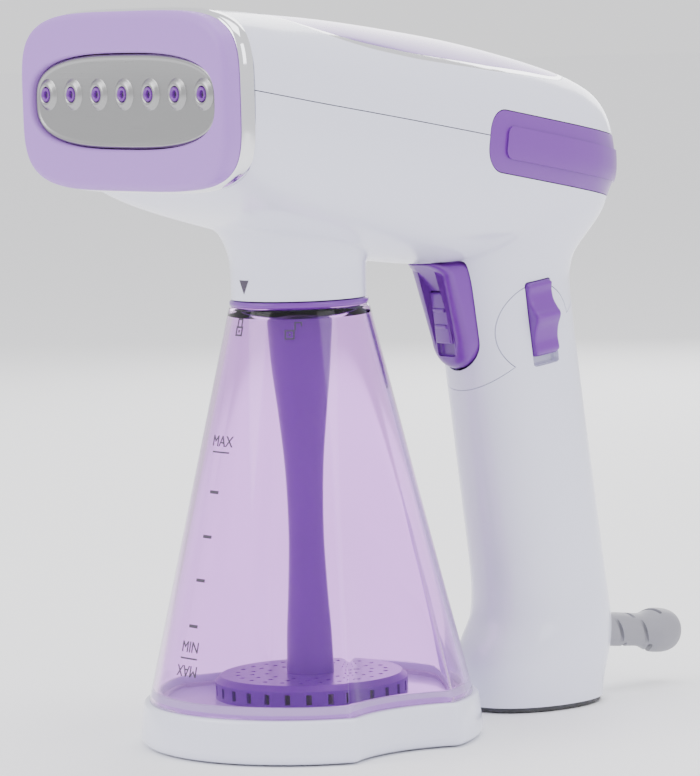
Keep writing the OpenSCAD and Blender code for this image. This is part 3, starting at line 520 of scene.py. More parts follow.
FINISHES: dict[str, Finish] = {finish.name: finish for finish in (
    Finish("white_shell", (0.81, 0.82, 0.97), (0.73, 0.72, 0.93), 0.2, 0.05, coat=0.35, depth=0.006,
           cloud=0.2, wear=0.1),
    Finish("black_plastic", (0.035, 0.035, 0.04), (0.07, 0.07, 0.075), 0.5, depth=0.08),
    Finish("screw_steel", (0.55, 0.55, 0.56), (0.4, 0.4, 0.42), 0.32, surface=Surface.BRUSHED, metallic=1.0),
    Finish("purple_lens", (0.26, 0.10, 0.52), (0.19, 0.07, 0.42), 0.16, 0.03, coat=0.2, depth=0.003,
           clear=0.1),
    Finish("chrome", (0.84, 0.84, 0.87), (0.72, 0.72, 0.78), 0.07, 0.03, metallic=1.0, depth=0.003),
    Finish("purple_plastic", (0.165, 0.022, 0.34), (0.13, 0.014, 0.28), 0.3, 0.06, coat=0.15, depth=0.02),
    Finish("lilac_plastic", (0.395, 0.186, 0.64), (0.34, 0.145, 0.57), 0.48, 0.06, grain=1500.0, depth=0.08),
    Finish("silicone", (0.74, 0.66, 0.80), (0.66, 0.56, 0.74), 0.45, depth=0.04),
    Finish("satin_steel", (0.36, 0.36, 0.36), (0.30, 0.30, 0.31), 0.3, 0.12, surface=Surface.BRUSHED,
           grain=2200.0,
           depth=0.05, metallic=1.0),
    Finish("aluminium", (0.66, 0.67, 0.69), (0.5, 0.5, 0.53), 0.45, depth=0.15, metallic=1.0),
    Finish("mica", (0.7, 0.62, 0.46), (0.55, 0.46, 0.3), 0.55, depth=0.1, cloud=0.5),
    Finish("copper", (0.62, 0.3, 0.13), (0.45, 0.18, 0.07), 0.32, surface=Surface.BRUSHED, grain=1500.0,
           depth=0.3,
           metallic=0.9),
    Finish("natural_plastic", (0.8, 0.78, 0.7), (0.7, 0.67, 0.57), 0.45, depth=0.04),
    Finish("black_rubber", (0.03, 0.03, 0.033), (0.06, 0.06, 0.065), 0.7, depth=0.1),
    Finish("circuit_board", (0.03, 0.2, 0.08), (0.02, 0.12, 0.05), 0.4, grain=400.0, cloud=0.5),
    Finish("grey_plastic", (0.5, 0.5, 0.53), (0.42, 0.42, 0.45), 0.42, depth=0.04),
    Finish("grey_rubber", (0.28, 0.275, 0.31), (0.22, 0.215, 0.25), 0.5, depth=0.06),
    Finish("tank_clear", (0.87, 0.59, 0.98), (0.81, 0.51, 0.96), 0.04, 0.02, depth=0.002, clear=1.0,
           wear=0.0, ior=1.33),
    Finish("print_ink", (0.045, 0.03, 0.06), (0.07, 0.05, 0.09), 0.5, depth=0.02),
)}


class Dresser:
    """Gives pieces their material, body and slot."""

    def __init__(self) -> None:
        """Builds every finish's material."""
        effects = Effects()
        self.materials = {name: finish.material(effects) for name, finish in FINISHES.items()}

    def dress(self, piece: bpy.types.Object, body: str, slot: str, *nodes: str) -> bpy.types.Object:
        """Finishes a new piece and sets it on its body.

        Args:
            piece: the piece, in place.
            body: the body it moves with.
            slot: the record's material slot.
            nodes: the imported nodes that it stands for.

        Returns:
            The same piece.
        """
        piece.data.materials.clear()
        piece.data.materials.append(self.materials[slot])
        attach(piece, body)
        if nodes:
            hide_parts(*nodes)
        LOG.info("%s: %d faces, rides %s", piece.name, len(piece.data.polygons), body)
        return piece

    def dress_nodes(self) -> None:
        """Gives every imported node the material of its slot."""
        for part in frame["record"]["subparts"]:
            node = frame["nodes"][part["node"]]
            node.data.materials.clear()
            node.data.materials.append(self.materials[part["material_slot"]])


# ---- The moulded body ----


@dataclass(frozen=True)
class Stations:
    """Smooth curves through rows of (place, value, value, ...)."""

    rows: tuple[tuple[float, ...], ...]

    def _slope(self, i: int, column: int) -> float:
        """The curve's slope at a row."""
        a, b = self.rows[max(i - 1, 0)], self.rows[min(i + 1, len(self.rows) - 1)]
        return (b[column] - a[column]) / (b[0] - a[0])

    def value(self, place: float, column: int) -> float:
        """The value of a column at a place.

        Args:
            place: position along the rows.
            column: which value.

        Returns:
            The value on the curve.
        """
        i = 0
        while i < len(self.rows) - 2 and place >= self.rows[i + 1][0]:
            i += 1
        a, b = self.rows[i], self.rows[i + 1]
        step = b[0] - a[0]
        u = (place - a[0]) / step
        return (a[column] * (2 * u ** 3 - 3 * u ** 2 + 1) + b[column] * (3 * u ** 2 - 2 * u ** 3)
                + self._slope(i, column) * step * (u ** 3 - 2 * u ** 2 + u)
                + self._slope(i + 1, column) * step * (u ** 3 - u ** 2))


@dataclass
class BodyForm:
    """The outer form of head, neck and handle, in millimetres."""

    head_length: float = 201.0
    head_width: float = 123.0
    face_height: float = 62.4
    front_y: float = -62.0
    parting_front_z: float = 231.8
    fall: float = 0.172
    wall: float = 2.4
    handle_w: float = 41.0
    handle_d: float = 53.2
    lean: float = 0.1266
    handle_y: float = 113.3
    handle_top: float = 205.0
    neck_low: float = 157.0
    neck_high: float = 196.0
    neck_r: float = 24.0
    flare: float = 20.0
    head: Stations = Stations((
        (0.00, 1.000, 0.897, 1.100), (0.06, 0.968, 0.945, 1.266), (0.16, 0.915, 1.003, 1.381),
        (0.31, 0.865, 1.074, 1.478), (0.46, 0.795, 1.112, 1.529), (0.61, 0.705, 1.125, 1.458),
        (0.73, 0.620, 1.090, 1.240), (0.83, 0.540, 1.035, 1.016), (0.91, 0.450, 0.958, 0.750),
        (0.97, 0.320, 0.810, 0.450), (0.995, 0.170, 0.530, 0.190)))
    handle: Stations = Stations((
        (0.00, 12.0, -9.5, 2.0), (0.04, 12.3, -7.2, 2.3), (0.08, 11.6, -3.6, 2.6), (0.11, 9.6, -1.4, 2.6),
        (0.135, 6.0, -0.5, 2.4), (0.16, 2.6, 0.0, 1.6), (0.22, 0.3, 0.0, 0.6), (0.36, 0.0, 0.0, 0.0),
        (0.76, 0.0, 0.0, 0.0), (0.808, 1.2, 3.0, 1.4), (0.828, 3.0, 6.6, 3.0), (0.849, 6.0, 11.2, 5.0),
        (0.870, 9.0, 15.6, 7.0), (0.891, 12.0, 19.0, 9.0), (0.927, 15.0, 22.0, 11.0), (1.00, 17.0, 23.0,
                                                                                       12.0)))

    def parting_z(self, y: float) -> float:
        """Height of the parting line at a distance along the head."""
        return self.parting_front_z - self.fall * (y - self.front_y)

    def handle_mid(self, z: float) -> float:
        """Y of the handle's centre line at a height."""
        return self.handle_y - self.lean * z

    def head_ring(self, s: float, inset: float, count: int = 112) -> Ring:
        """The head's section at a share of its length."""
        within = min(max(s, 0.0), 0.995)
        close = 1 - ((s - 0.98) / 0.015) ** 2 * 0.35 if s > 0.98 else 1.0
        half, up, down = ((self.head.value(within, c) * size * close - inset)
                          for c, size in ((1, self.head_width / 2), (2, self.face_height / 2),
                                          (3, self.face_height / 2)))
        power = 3.4 - 1.1 * min(1.0, max(s, 0.0) * 1.6)
        y = self.front_y + s * self.head_length
        return [(x, y, self.parting_z(y) + z) for x, z in
                superellipse(max(half, 0.5), max(up, 0.5), max(down, 0.5), power, count)]

    def handle_ring(self, z: float, inset: float, count: int = 88) -> Ring:
        """The handle's section at a height."""
        s = max(z, 0.0) / self.handle_top
        front = self.handle_mid(z) - self.handle_d / 2 - self.handle.value(s, 1) + inset
        back = self.handle_mid(z) + self.handle_d / 2 + self.handle.value(s, 2) - inset
        half = self.handle_w / 2 + self.handle.value(s, 3) - inset
        return [(x, (front + back) / 2 + y, z) for x, y in
                superellipse(half, (back - front) / 2, (back - front) / 2, 2.15, count)]

    def head_solid(self, inset: float, low: float = -0.02, high: float = 0.995,
                   steps: int = 120) -> bpy.types.Object:
        """The head as a solid, drawn in by an inset."""
        return loft("head", [self.head_ring(low + (high - low) * k / steps, inset) for k in range(steps + 1)])

    def handle_solid(self, inset: float, low: float = -3.0, high: float = 205.0,
                     steps: int = 110) -> bpy.types.Object:
        """The handle as a solid, drawn in by an inset."""
        return loft("handle", [self.handle_ring(low + (high - low) * k / steps,
                                                inset) for k in range(steps + 1)])

    def neck_profile(self, grow: float, low: float) -> list[Flat]:
        """The neck's (radius, height) line, grown by an amount."""
        lift, steps = self.neck_low + 9, 24
        rise = self.neck_high - lift
        return ([(0.01, low), (self.neck_r + grow, low), (self.neck_r + grow, lift)]
                + [(self.neck_r + grow + self.flare * (k / steps) ** 2.2, lift + rise * k / steps)
                   for k in range(1, steps + 1)] + [(0.01, self.neck_high)])

    def neck_solid(self, grow: float, low: float) -> bpy.types.Object:
        """The neck as a solid, grown by an amount."""
        return turned("neck", self.neck_profile(grow, low), 96, loop=False)


@dataclass
class BodyShells:
    """The shells that the body is moulded in."""

    form: BodyForm
    dresser: Dresser
    seam: float = 0.34
    voxel: float = 1.15
    smoothing: int = 16
    grip_h: float = 22.0
    grip_start: float = 116.5
    grip_drop: float = 1.1
    grip_round: float = 8.5
    trim_w: float = 2.0
    pad_margin: float = 5.2
    pad_start: float = 4.0
    collar_z: float = 184.0
    collar_fall: float = 0.25
    sleeve_z: float = 118.0
    sleeve_rise: float = 0.71
    switch_z: float = 144.0
    tongue_r: float = 16.5
    cover: Stations = Stations((
        (0.122, 0.0), (0.134, 0.325), (0.154, 0.520), (0.190, 0.655), (0.270, 0.719), (0.383, 0.691),
        (0.488, 0.626), (0.617, 0.520), (0.726, 0.423), (0.806, 0.345),
        (0.846, 0.270), (0.866, 0.170), (0.873, 0.0)))

    def outer(self) -> bpy.types.Object:
        """Head, neck and handle blended into one smooth solid."""
        form = self.form
        body = join("body", [form.head_solid(0), form.neck_solid(0, form.neck_low - 3), form.handle_solid(0)])
        only(body)
        grid = body.modifiers.new("blend", "REMESH")
        grid.mode, grid.voxel_size = "VOXEL", self.voxel * MM
        bpy.ops.object.modifier_apply(modifier=grid.name)
        even = body.modifiers.new("even", "SMOOTH")
        even.factor, even.iterations = 0.5, self.smoothing
        bpy.ops.object.modifier_apply(modifier=even.name)
        return body

    def inner(self) -> bpy.types.Object:
        """The hollow inside the shells."""
        form = self.form
        hollow = form.head_solid(form.wall, -0.04, 0.985, 60)
        carve(hollow, form.handle_solid(form.wall, -5, form.handle_top - 2, 60), Cut.JOIN)
        carve(hollow, turned("bore", [(0.01, 140), (form.neck_r - 2.6, 140), (form.neck_r - 2.6, 205),
                                      (0.01, 205)],
                             96, loop=False), Cut.JOIN)
        return hollow

    def above_parting(self, lift: float) -> bpy.types.Object:
        """Everything above the parting plane, lifted by an amount."""
        form = self.form
        return half_space((0, form.front_y, form.parting_front_z + lift), (0, form.fall, 1))

    def below_parting(self, lift: float) -> bpy.types.Object:
        """Everything below the parting plane, lifted by an amount."""
        form = self.form
        return half_space((0, form.front_y, form.parting_front_z + lift), (0, -form.fall, -1))

    def grip_region(self, grow: float, shrink_end: float = 0.0) -> bpy.types.Object:
        """The band at the back of the head, grown by an amount.

        Args:
            grow: growth all round, negative to shrink.
            shrink_end: how far the front end moves back.

        Returns:
            The region's solid, with a round front end.
        """
        half, radius = self.grip_h / 2 + grow, max(self.grip_round + grow, 1.0)
        start, steps, outline = self.grip_start - grow + shrink_end, 10, []
        for sign in (1, -1):
            arc = [(start + radius - radius * math.cos(QUARTER * k / steps),
                    sign * (half - radius + radius * math.sin(QUARTER * k / steps)))
                   for k in range(steps + 1)]
            outline += arc[::-1] if sign > 0 else arc
        outline += [(290.0, -half), (290.0, half)]
        region = prism("grip_region", outline, -90, 90)
        turn = Matrix(((0, 0, 1, 0), (1, 0, 0, 0), (0, 1, 0, 0), (0, 0, 0, 1)))
        form = self.form
        return move(region, at(0, form.front_y, form.parting_front_z, -math.atan(form.fall))
                    @ Matrix.Translation((0, 0, -self.grip_drop * MM)) @ turn)

    def cover_region(self, grow: float) -> bpy.types.Object:
        """The top cover's plan outline, grown by an amount and raised through the head."""
        form, steps = self.form, 44
        half, rows = form.head_width / 2, self.cover.rows
        spots = [rows[0][0] + (rows[-1][0] - rows[0][0]) * (1 - math.cos(math.pi * k / steps)) / 2
                 for k in range(steps + 1)]
        side = [(max(self.cover.value(s, 1), 0.0) * half, form.front_y + s * form.head_length) for s in spots]
        loop = side + [(-x, y) for x, y in side[-2:0:-1]]
        grown = []
        for k, (x, y) in enumerate(loop):
            ax, ay = loop[k - 1]
            bx, by = loop[(k + 1) % len(loop)]
            length = math.hypot(bx - ax, by - ay)
            grown.append((x + grow * (by - ay) / length, y - grow * (bx - ax) / length))
        return prism("cover_region", grown, form.parting_front_z - 20, 330)

    def sleeve_region(self, gap: float) -> bpy.types.Object:
        """The handle's sleeve: below a slanted plane, with a round tongue at the switch."""
        form = self.form
        front = form.handle_mid(self.sleeve_z) - form.handle_d / 2
        region = half_space((0, front, self.sleeve_z - gap), (0, self.sleeve_rise, -1))
        tongue = turned("tongue", [(0.01, -90), (self.tongue_r - gap, -90), (self.tongue_r - gap, 90),
                                   (0.01, 90)],
                        96, loop=False)
        move(tongue, at(0, form.handle_mid(self.switch_z) - 1.5,
                        self.switch_z - 4) @ Matrix.Rotation(QUARTER, 4, "Y"))
        carve(region, tongue, Cut.JOIN)
        return region

    def collar_region(self, gap: float) -> bpy.types.Object:
        """The collar: the neck below its slanted seam."""
        region = self.form.neck_solid(2.0, self.form.neck_low - 8)
        carve(region, half_space((0, 0, self.collar_z - gap), (0, -self.collar_fall, -1)), Cut.WITHIN)
        return region

    def shell(self, name: str, slot: str, keep: Sequence[bpy.types.Object],
              remove: Sequence[bpy.types.Object],
              node: str) -> None:
        """Cuts one shell out of the body and dresses it.

        Args:
            name: the piece's name.
            slot: its material slot.
            keep: solids that it lies within.
            remove: solids that are cut from it.
            node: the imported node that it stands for.
        """
        piece = copy_of(self.solid, name)
        for tool in keep:
            carve(piece, tool, Cut.WITHIN)
        for tool in remove:
            carve(piece, tool)
        carve(piece, self.hollow, keep=True)
        smooth(piece, 32)
        self.dresser.dress(piece, "housing", slot, node)

    def build(self, holes: Callable[[], list[bpy.types.Object]]) -> None:
        """Cuts every shell.

        Args:
            holes: makes the controls' openings, afresh for each shell.
        """
        gap, form = self.seam / 2, self.form
        self.solid, self.hollow = self.outer(), self.inner()
        front = half_space((0, form.front_y, 0), (0, 1, 0))
        carve(self.solid, front, Cut.WITHIN)
        self.shell("shell_top", "white_shell", [self.above_parting(gap)],
                   [self.grip_region(gap * 2), self.cover_region(self.trim_w)], "upper_housing")
        sleeve = self.sleeve_region(gap)
        foot_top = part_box("foot_plate")[1][2] / MM + 0.2
        self.shell("handle_sleeve", "white_shell", [sleeve, half_space((0, 0, foot_top), (0, 0, 1)),
                   half_space((0, 60, 0), (0, 1, 0))], holes(), "handle_shell")
        self.shell("shell_low", "white_shell", [self.below_parting(-gap)],
                   [self.grip_region(gap * 2), self.collar_region(-gap), self.sleeve_region(-gap), *holes()],
                   "lower_housing")
        self.shell("neck_ring", "white_shell", [self.collar_region(gap),
                                                half_space((0, 0, form.neck_low), (0, 0, 1))],
                   [], "neck_collar")
        self.shell("tinted_cover", "purple_lens", [self.cover_region(0),
                                                   self.above_parting(self.grip_h / 2)], [],
                   "top_cover")
        self.shell("cover_trim", "chrome", [self.cover_region(self.trim_w - 0.15),
                                            self.above_parting(self.grip_h / 2)],
                   [self.cover_region(0.15)], "top_trim")
        self.shell("back_grip", "purple_plastic", [self.grip_region(0)], [], "rear_grip")
        self.grip_pad()
        for leftover in (self.solid, self.hollow):
            bpy.data.objects.remove(leftover, do_unlink=True)

    def grip_pad(self, lift: float = 0.7) -> None:
        """The raised lozenge on the back grip.

        Args:
            lift: how far it stands out.
        """
        pad, under = copy_of(self.solid, "grip_pad"), copy_of(self.solid, "under")
        for solid, push in ((pad, lift), (under, -0.6)):
            only(solid)
            step = solid.modifiers.new("push", "DISPLACE")
            step.strength, step.mid_level = push * MM, 0.0
            bpy.ops.object.modifier_apply(modifier=step.name)
        carve(pad, self.grip_region(-self.pad_margin, self.pad_start), Cut.WITHIN)
        carve(pad, under)
        smooth(pad, 32)
        self.dresser.dress(pad, "housing", "purple_plastic")


# ---- The steam face ----


@dataclass
class SteamFace:
    """Chrome band, bezel, steel plate and nozzles."""

    dresser: Dresser
    form: BodyForm
    centre_z: float = 228.6
    row_rise: float = 2.4
    pitch: float = 15.4
    nozzles: int = 7
    frame_power: float = 4.3
    plate_power: float = 2.9
    sides: int = 192

    def ring(self, inset: float, y: float, blend: float = 0.0) -> Ring:
        """An outline of the face: 0 blends to the frame's outer edge, 1 to the plate's.

        Args:
            inset: how far it is drawn in.
            y: its place along Y.
            blend: 0 for the frame, 1 for the plate.

        Returns:
            The outline.
        """
        low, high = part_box("nozzle_plate")
        plate_w, plate_h = (high[0] - low[0]) / 2 / MM, (high[2] - low[2]) / 2 / MM
        if blend:
            flat = superellipse(plate_w - inset, plate_h - inset, plate_h - inset, self.plate_power,
                                self.sides)
        else:
            half_w, half_h = self.form.head_width / 2 - inset, self.form.face_height / 2 - inset
            flat = superellipse(half_w, half_h, half_h, self.frame_power, self.sides)
        return [(x, y, self.centre_z + z) for x, z in flat]

    def arc(self, start: Flat, centre: Flat, end_turn: float, steps: int = 6) -> list[Flat]:
        """Points of a round from a start about a centre, by a turn in radians."""
        x, y = start[0] - centre[0], start[1] - centre[1]
        return [(centre[0] + x * math.cos(end_turn * k / steps) - y * math.sin(end_turn * k / steps),
                 centre[1] + x * math.sin(end_turn * k / steps) + y * math.cos(end_turn * k / steps))
                for k in range(steps + 1)]

    def band(self) -> None:
        """The chrome band round the face."""
        low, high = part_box("chrome_band")
        front, back = low[1] / MM, high[1] / MM
        profile = [(3.0, back), (0.3, back), (-0.35, back - 0.7), (-0.44, (front + back) / 2),
                   (-0.35, front + 0.7),
                   (0.4, front), (3.0, front)]
        piece = loft("face_band", [self.ring(inset, y) for inset, y in profile], loop=True)
        smooth(piece, 50)
        self.dresser.dress(piece, "housing", "chrome", "chrome_band")

    def bezel(self) -> None:
        """The lilac frame in front of the band, softly rounded inside and out."""
        low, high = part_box("face_bezel")
        front, back, gap, round_r = low[1] / MM, high[1] / MM, -0.45, 3.0
        outer = [(0.5, back), (0.45, front + round_r)]
        outer += [(0.45 + round_r * (1 - math.cos(QUARTER * k / 8)),
                   front + round_r * (1 - math.sin(QUARTER * k / 8)))
                  for k in range(1, 9)]
        inner = [(gap - 1.6 * (1 - math.sin(QUARTER * k / 6)), front + 1.6 * (1 - math.cos(QUARTER * k / 6)))
                 for k in range(7)]
        rings = [self.ring(inset, y) for inset, y in outer]
        rings += [self.ring(inset, y, 1) for inset, y in inner + [(gap, back)]]
        piece = loft("face_frame", rings, loop=True)
        smooth(piece, 40)
        self.dresser.dress(piece, "housing", "lilac_plastic", "face_bezel")

    def plate(self) -> None:
        """The satin plate with its bright turned rim and a pressed collar for each nozzle."""
        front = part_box("nozzle_plate")[0][1] / MM + 1.2
        profile = [(0.3, front + 1.0), (0.05, front + 0.9), (0.0, front + 0.4), (0.3, front + 0.05),
                   (0.7, front - 0.15),
                   (1.3, front - 0.15), (1.7, front + 0.1), (2.2, front + 0.2)]
        rings = [self.ring(inset, y, 1) for inset, y in profile]
        sheet = loft("plate_sheet", rings)
        parts = [sheet]
        collar = [(1.9, 0.6), (5.6, 0.6), (5.5, 0.0), (5.0, -0.35), (4.4, -0.9), (3.7, -1.3), (3.1, -1.25),
                  (2.7, -0.9),
                  (2.5, -0.2)]
        for k in range(self.nozzles):
            x = (k - (self.nozzles - 1) / 2) * self.pitch
            boss = turned("collar", collar, 48)
            parts.append(move(boss, at(x, front + 0.2, self.centre_z + self.row_rise, -QUARTER)))
        piece = join("steam_plate", parts)
        smooth(piece, 40)
        self.dresser.dress(piece, "housing", "satin_steel", "nozzle_plate")

    def tips(self) -> None:
        """The purple nozzles, each with a round mouth."""
        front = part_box("nozzle_tips")[0][1] / MM
        profile = [(1.2, 2.6), (2.45, 2.6), (2.45, 0.7), (2.25, 0.35), (1.9, 0.3), (1.5, 0.5), (1.2, 0.9)]
        parts = []
        for k in range(self.nozzles):
            x = (k - (self.nozzles - 1) / 2) * self.pitch
            parts.append(move(turned("tip", profile, 40),
                              at(x, front + 0.3, self.centre_z + self.row_rise, -QUARTER)))
        piece = join("steam_nozzles", parts)
        smooth(piece, 40)
        self.dresser.dress(piece, "housing", "purple_plastic", "nozzle_tips")

    def build(self) -> None:
        """Builds the whole face."""
        self.band()
        self.bezel()
        self.plate()
        self.tips()


# ---- The water tank ----


@dataclass
class WaterTank:
    """The clear tank with its scooped sides, base cap, tube and marks."""

    dresser: Dresser
    foot_r: float = 57.6
    top_r: float = 24.4
    wall: float = 2.0
    cap_h: float = 15.3
    lip: float = 2.0
    scoop_r: float = 46.4
    scoop_depth: float = 10.0
    scoop_lean: float = 0.66
    blend: float = 0.55
    throat: float = 17.8
    sides: int = 256
    height: float = field(init=False)
    slope: float = field(init=False)

    def __post_init__(self) -> None:
        """Takes the joint's height from the frame and works out the wall's slope."""
        self.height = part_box("tank_ring")[0][2] / MM + 1.5
        self.slope = (self.foot_r - self.top_r) / (self.height - self.cap_h)

    def cone_r(self, z: float) -> float:
        """The cone's radius at a height."""
        return self.top_r + self.slope * (self.height - z)

    def side_r(self, turn: float, z: float, grow: float = 0.0) -> float:
        """Radius of the scooped form at an angle and a height.

        Args:
            turn: angle about +Z.
            z: height.
            grow: growth of the form.

        Returns:
            The radius, with the scoop's edge blended.
        """
        cone = self.cone_r(z) + grow
        tilt = math.atan(self.slope * self.scoop_lean)
        face_x = self.foot_r - self.scoop_depth - (z - self.cap_h) * math.tan(tilt) + grow
        long_r = self.scoop_r / math.cos(tilt)
        centre = face_x + long_r
        c, s = abs(math.cos(turn)), math.sin(turn)
        a = (c / long_r) ** 2 + (s / self.scoop_r) ** 2
        b = -2 * c * centre / long_r ** 2
        inside = b * b - 4 * a * ((centre / long_r) ** 2 - 1)
        if inside <= 0:
            return cone
        scoop = (-b - math.sqrt(inside)) / (2 * a)
        near = max(self.blend * 3 - abs(scoop - cone), 0.0) / (self.blend * 3)
        return min(scoop, cone) - near ** 3 * self.blend * 0.5

    def ring(self, z: float, grow: float, place_z: float | None = None) -> Ring:
        """A scooped section of the form at a height, drawn at that height or another."""
        spots = []
        for k in range(self.sides):
            turn = FULL * k / self.sides
            r = self.side_r(turn, z, grow)
            spots.append((r * math.cos(turn), r * math.sin(turn), z if place_z is None else place_z))
        return spots

    def circle(self, r: float, z: float) -> Ring:
        """A round section."""
        return [(r * math.cos(FULL * k / self.sides), r * math.sin(FULL * k / self.sides), z)
                for k in range(self.sides)]

    def shell(self) -> None:
        """The clear shell, open at its foot and its neck."""
        low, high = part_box("tank_shell")
        foot, neck_top, throat = low[2] / MM, high[2] / MM, self.throat
        shoulder, steps = self.height - 1.7, 40
        rings = [self.ring(foot + (shoulder - 1 - foot) * k / steps, 0.0) for k in range(steps + 1)]
        rings += [self.ring(shoulder - 1, -0.4, shoulder - 0.3), self.ring(shoulder - 1, -1.2, shoulder),
                  self.circle(throat + 0.6, shoulder), self.circle(throat, shoulder + 0.6),
                  self.circle(throat, neck_top - 0.4), self.circle(throat - 0.4, neck_top),
                  self.circle(throat - 1.6, neck_top), self.circle(throat - self.wall, neck_top - 0.4),
                  self.circle(throat - self.wall, shoulder - 1.2), self.circle(throat - self.wall + 1,
                                                                               shoulder - 2.0)]
        top = shoulder - 3.6
        rings += [self.ring(top - (top - foot) * k / steps, -self.wall) for k in range(steps + 1)]
        piece = loft("tank_body", rings, loop=True)
        smooth(piece, 40)
        self.dresser.dress(piece, "tank", "tank_clear", "tank_shell")

    def base(self) -> None:
        """The white cap that the tank stands on, hollow underneath."""
        cap, grow = self.cap_h, self.lip - 0.6
        edge = 3.6
        foot = [(grow - edge - 4.5, 2.6), (grow - edge - 3.9, 0.4), (grow - edge - 3.3, 0.0),
                (grow - edge, 0.0)]
        foot += [(grow - edge + edge * math.sin(QUARTER * k / 7), edge * (1 - math.cos(QUARTER * k / 7)))
                 for k in range(1, 8)]
        side = [(grow, 8.0), (grow, cap - 1.1), (grow - 0.2, cap - 0.45), (grow - 0.7, cap - 0.08),
                (grow - 1.2, cap)]
        rings = [self.circle(r, z) for r, z in ((2.0, 0.3), (11.4, 0.0), (12.0, 0.5), (13.0, 2.6))]
        rings += [self.ring(max(z, 0.01) * 0.25 + 6, g, z) for g, z in foot]
        rings += [self.ring(max(z * 0.5 + 6, 6), g, z) for g, z in side]
        rings += [self.ring(cap, -self.wall - 0.3, cap), self.ring(cap, -self.wall - 0.3, cap + 3.6),
                  self.ring(cap, -self.wall - 0.7, cap + 4), self.ring(cap, -self.wall - 2, cap + 4),
                  self.ring(cap, -self.wall - 2.2, cap + 3.6), self.ring(cap, -self.wall - 2.4, cap + 0.3),
                  self.circle(30, cap), self.circle(2, cap)]
        piece = loft("tank_foot", rings)
        smooth(piece, 38)
        self.dresser.dress(piece, "tank", "white_shell", "tank_base")

    def collar(self) -> None:
        """The purple ring at the tank's joint."""
        low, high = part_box("tank_ring")
        r, bottom, top = high[0] / MM, low[2] / MM, high[2] / MM
        profile = [(18.0, bottom), (r - 0.4, bottom), (r, bottom + 0.4), (r, top - 0.4), (r - 0.4, top),
                   (18.0, top)]
        piece = turned("tank_collar", profile, 128)
        smooth(piece, 50)
        self.dresser.dress(piece, "tank", "purple_plastic", "tank_ring")

    def tube(self) -> None:
        """The waisted suction tube."""
        low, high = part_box("suction_tube")
        bottom, top, wall = low[2] / MM, high[2] / MM, 1.5
        width = Stations(((0, 8.4), (0.1, 8.0), (0.22, 7.0), (0.36, 6.3), (0.52, 6.9), (0.66, 8.7),
                          (0.78, 10.6),
                          (0.9, 11.7), (1, 12.0)))
        steps = 48
        outer = [(width.value(k / steps, 1), bottom + (top - bottom) * k / steps) for k in range(steps + 1)]
        inner = [(r - wall, z) for r, z in reversed(outer)]
        piece = turned("draw_tube", outer + inner, 96)
        smooth(piece, 50)
        self.dresser.dress(piece, "tank", "purple_plastic", "suction_tube")

    def wrap(self, mark: bpy.types.Object, z: float, turn: float, lift: float = 0.12) -> bpy.types.Object:
        """Bends a flat mark, drawn in XY in millimetres, round the tank.

        Args:
            mark: the flat mark.
            z: height of its middle.
            turn: angle about +Z that it faces.
            lift: how far it stands off the wall.

        Returns:
            The wrapped mark.
        """
        for vertex in mark.data.vertices:
            x, y, depth = vertex.co
            height = z + y
            r = self.side_r(turn, height) + lift + depth
            angle = turn + x / self.cone_r(height)
            vertex.co = Vector((r * math.cos(angle), r * math.sin(angle), height)) * MM
        return mark

    def letters(self, text: str, size: float, z: float, turn: float, over: bool = False) -> bpy.types.Object:
        """A printed word on the tank.

        Args:
            text: the word.
            size: letter height.
            z: height of the word's middle.
            turn: angle that it faces.
            over: turns it upside down.

        Returns:
            The word.
        """
        deselect_all()
        bpy.ops.object.text_add()
        word = bpy.context.object
        word.data.body, word.data.size, word.data.extrude = text, size * 1.4, 0.08
        word.data.align_x, word.data.align_y = "CENTER", "CENTER"
        word.data.resolution_u = 5
        bpy.ops.object.convert(target="MESH")
        word = bpy.context.object
        if over:
            move(word, Matrix.Rotation(math.pi, 4, "Z"))
        only(word)
        with editing(word):
            bpy.ops.mesh.remove_doubles(threshold=0.0001)
        return self.wrap(word, z, turn)

    def bar(self, width: float, high: float, z: float, turn: float, x: float = 0.0) -> bpy.types.Object:
        """A printed bar on the tank."""
        deselect_all()
        bpy.ops.mesh.primitive_grid_add(x_subdivisions=10, y_subdivisions=1, size=1)
        mark = bpy.context.object
        with editing(mark):
            bpy.ops.mesh.extrude_region_move(TRANSFORM_OT_translate={"value": (0, 0, 1)})
        for vertex in mark.data.vertices:
            vertex.co = Vector((vertex.co.x * width + x, vertex.co.y * high, vertex.co.z * 0.16 - 0.08))
        return self.wrap(mark, z, turn)

    def padlock(self, z: float, turn: float, opened: bool) -> list[bpy.types.Object]:
        """A small padlock sign, shut or open.

        Args:
            z: height of its middle.
            turn: angle that it faces.
            opened: swings the shackle aside.

        Returns:
            Its pieces.
        """
        shift = 3.0 if opened else 0.0
        parts = [self.bar(3.6, 0.6, z - 2.7, turn), self.bar(3.6, 0.6, z + 0.1, turn),
                 self.bar(0.6, 3.4, z - 1.3, turn, -1.5), self.bar(0.6, 3.4, z - 1.3, turn, 1.5),
                 self.bar(0.7, 0.9, z - 1.3, turn)]
        parts += [self.bar(0.55, 2.4, z + 1.4, turn,
                           x + shift) for x in ((-1.1, 1.1) if not opened else (-1.1,))]
        parts += [self.bar(2.7, 0.55, z + 2.8, turn, shift)]
        if opened:
            parts.append(self.bar(0.55, 1.2, z + 2.1, turn, 1.1 + shift))
        return parts

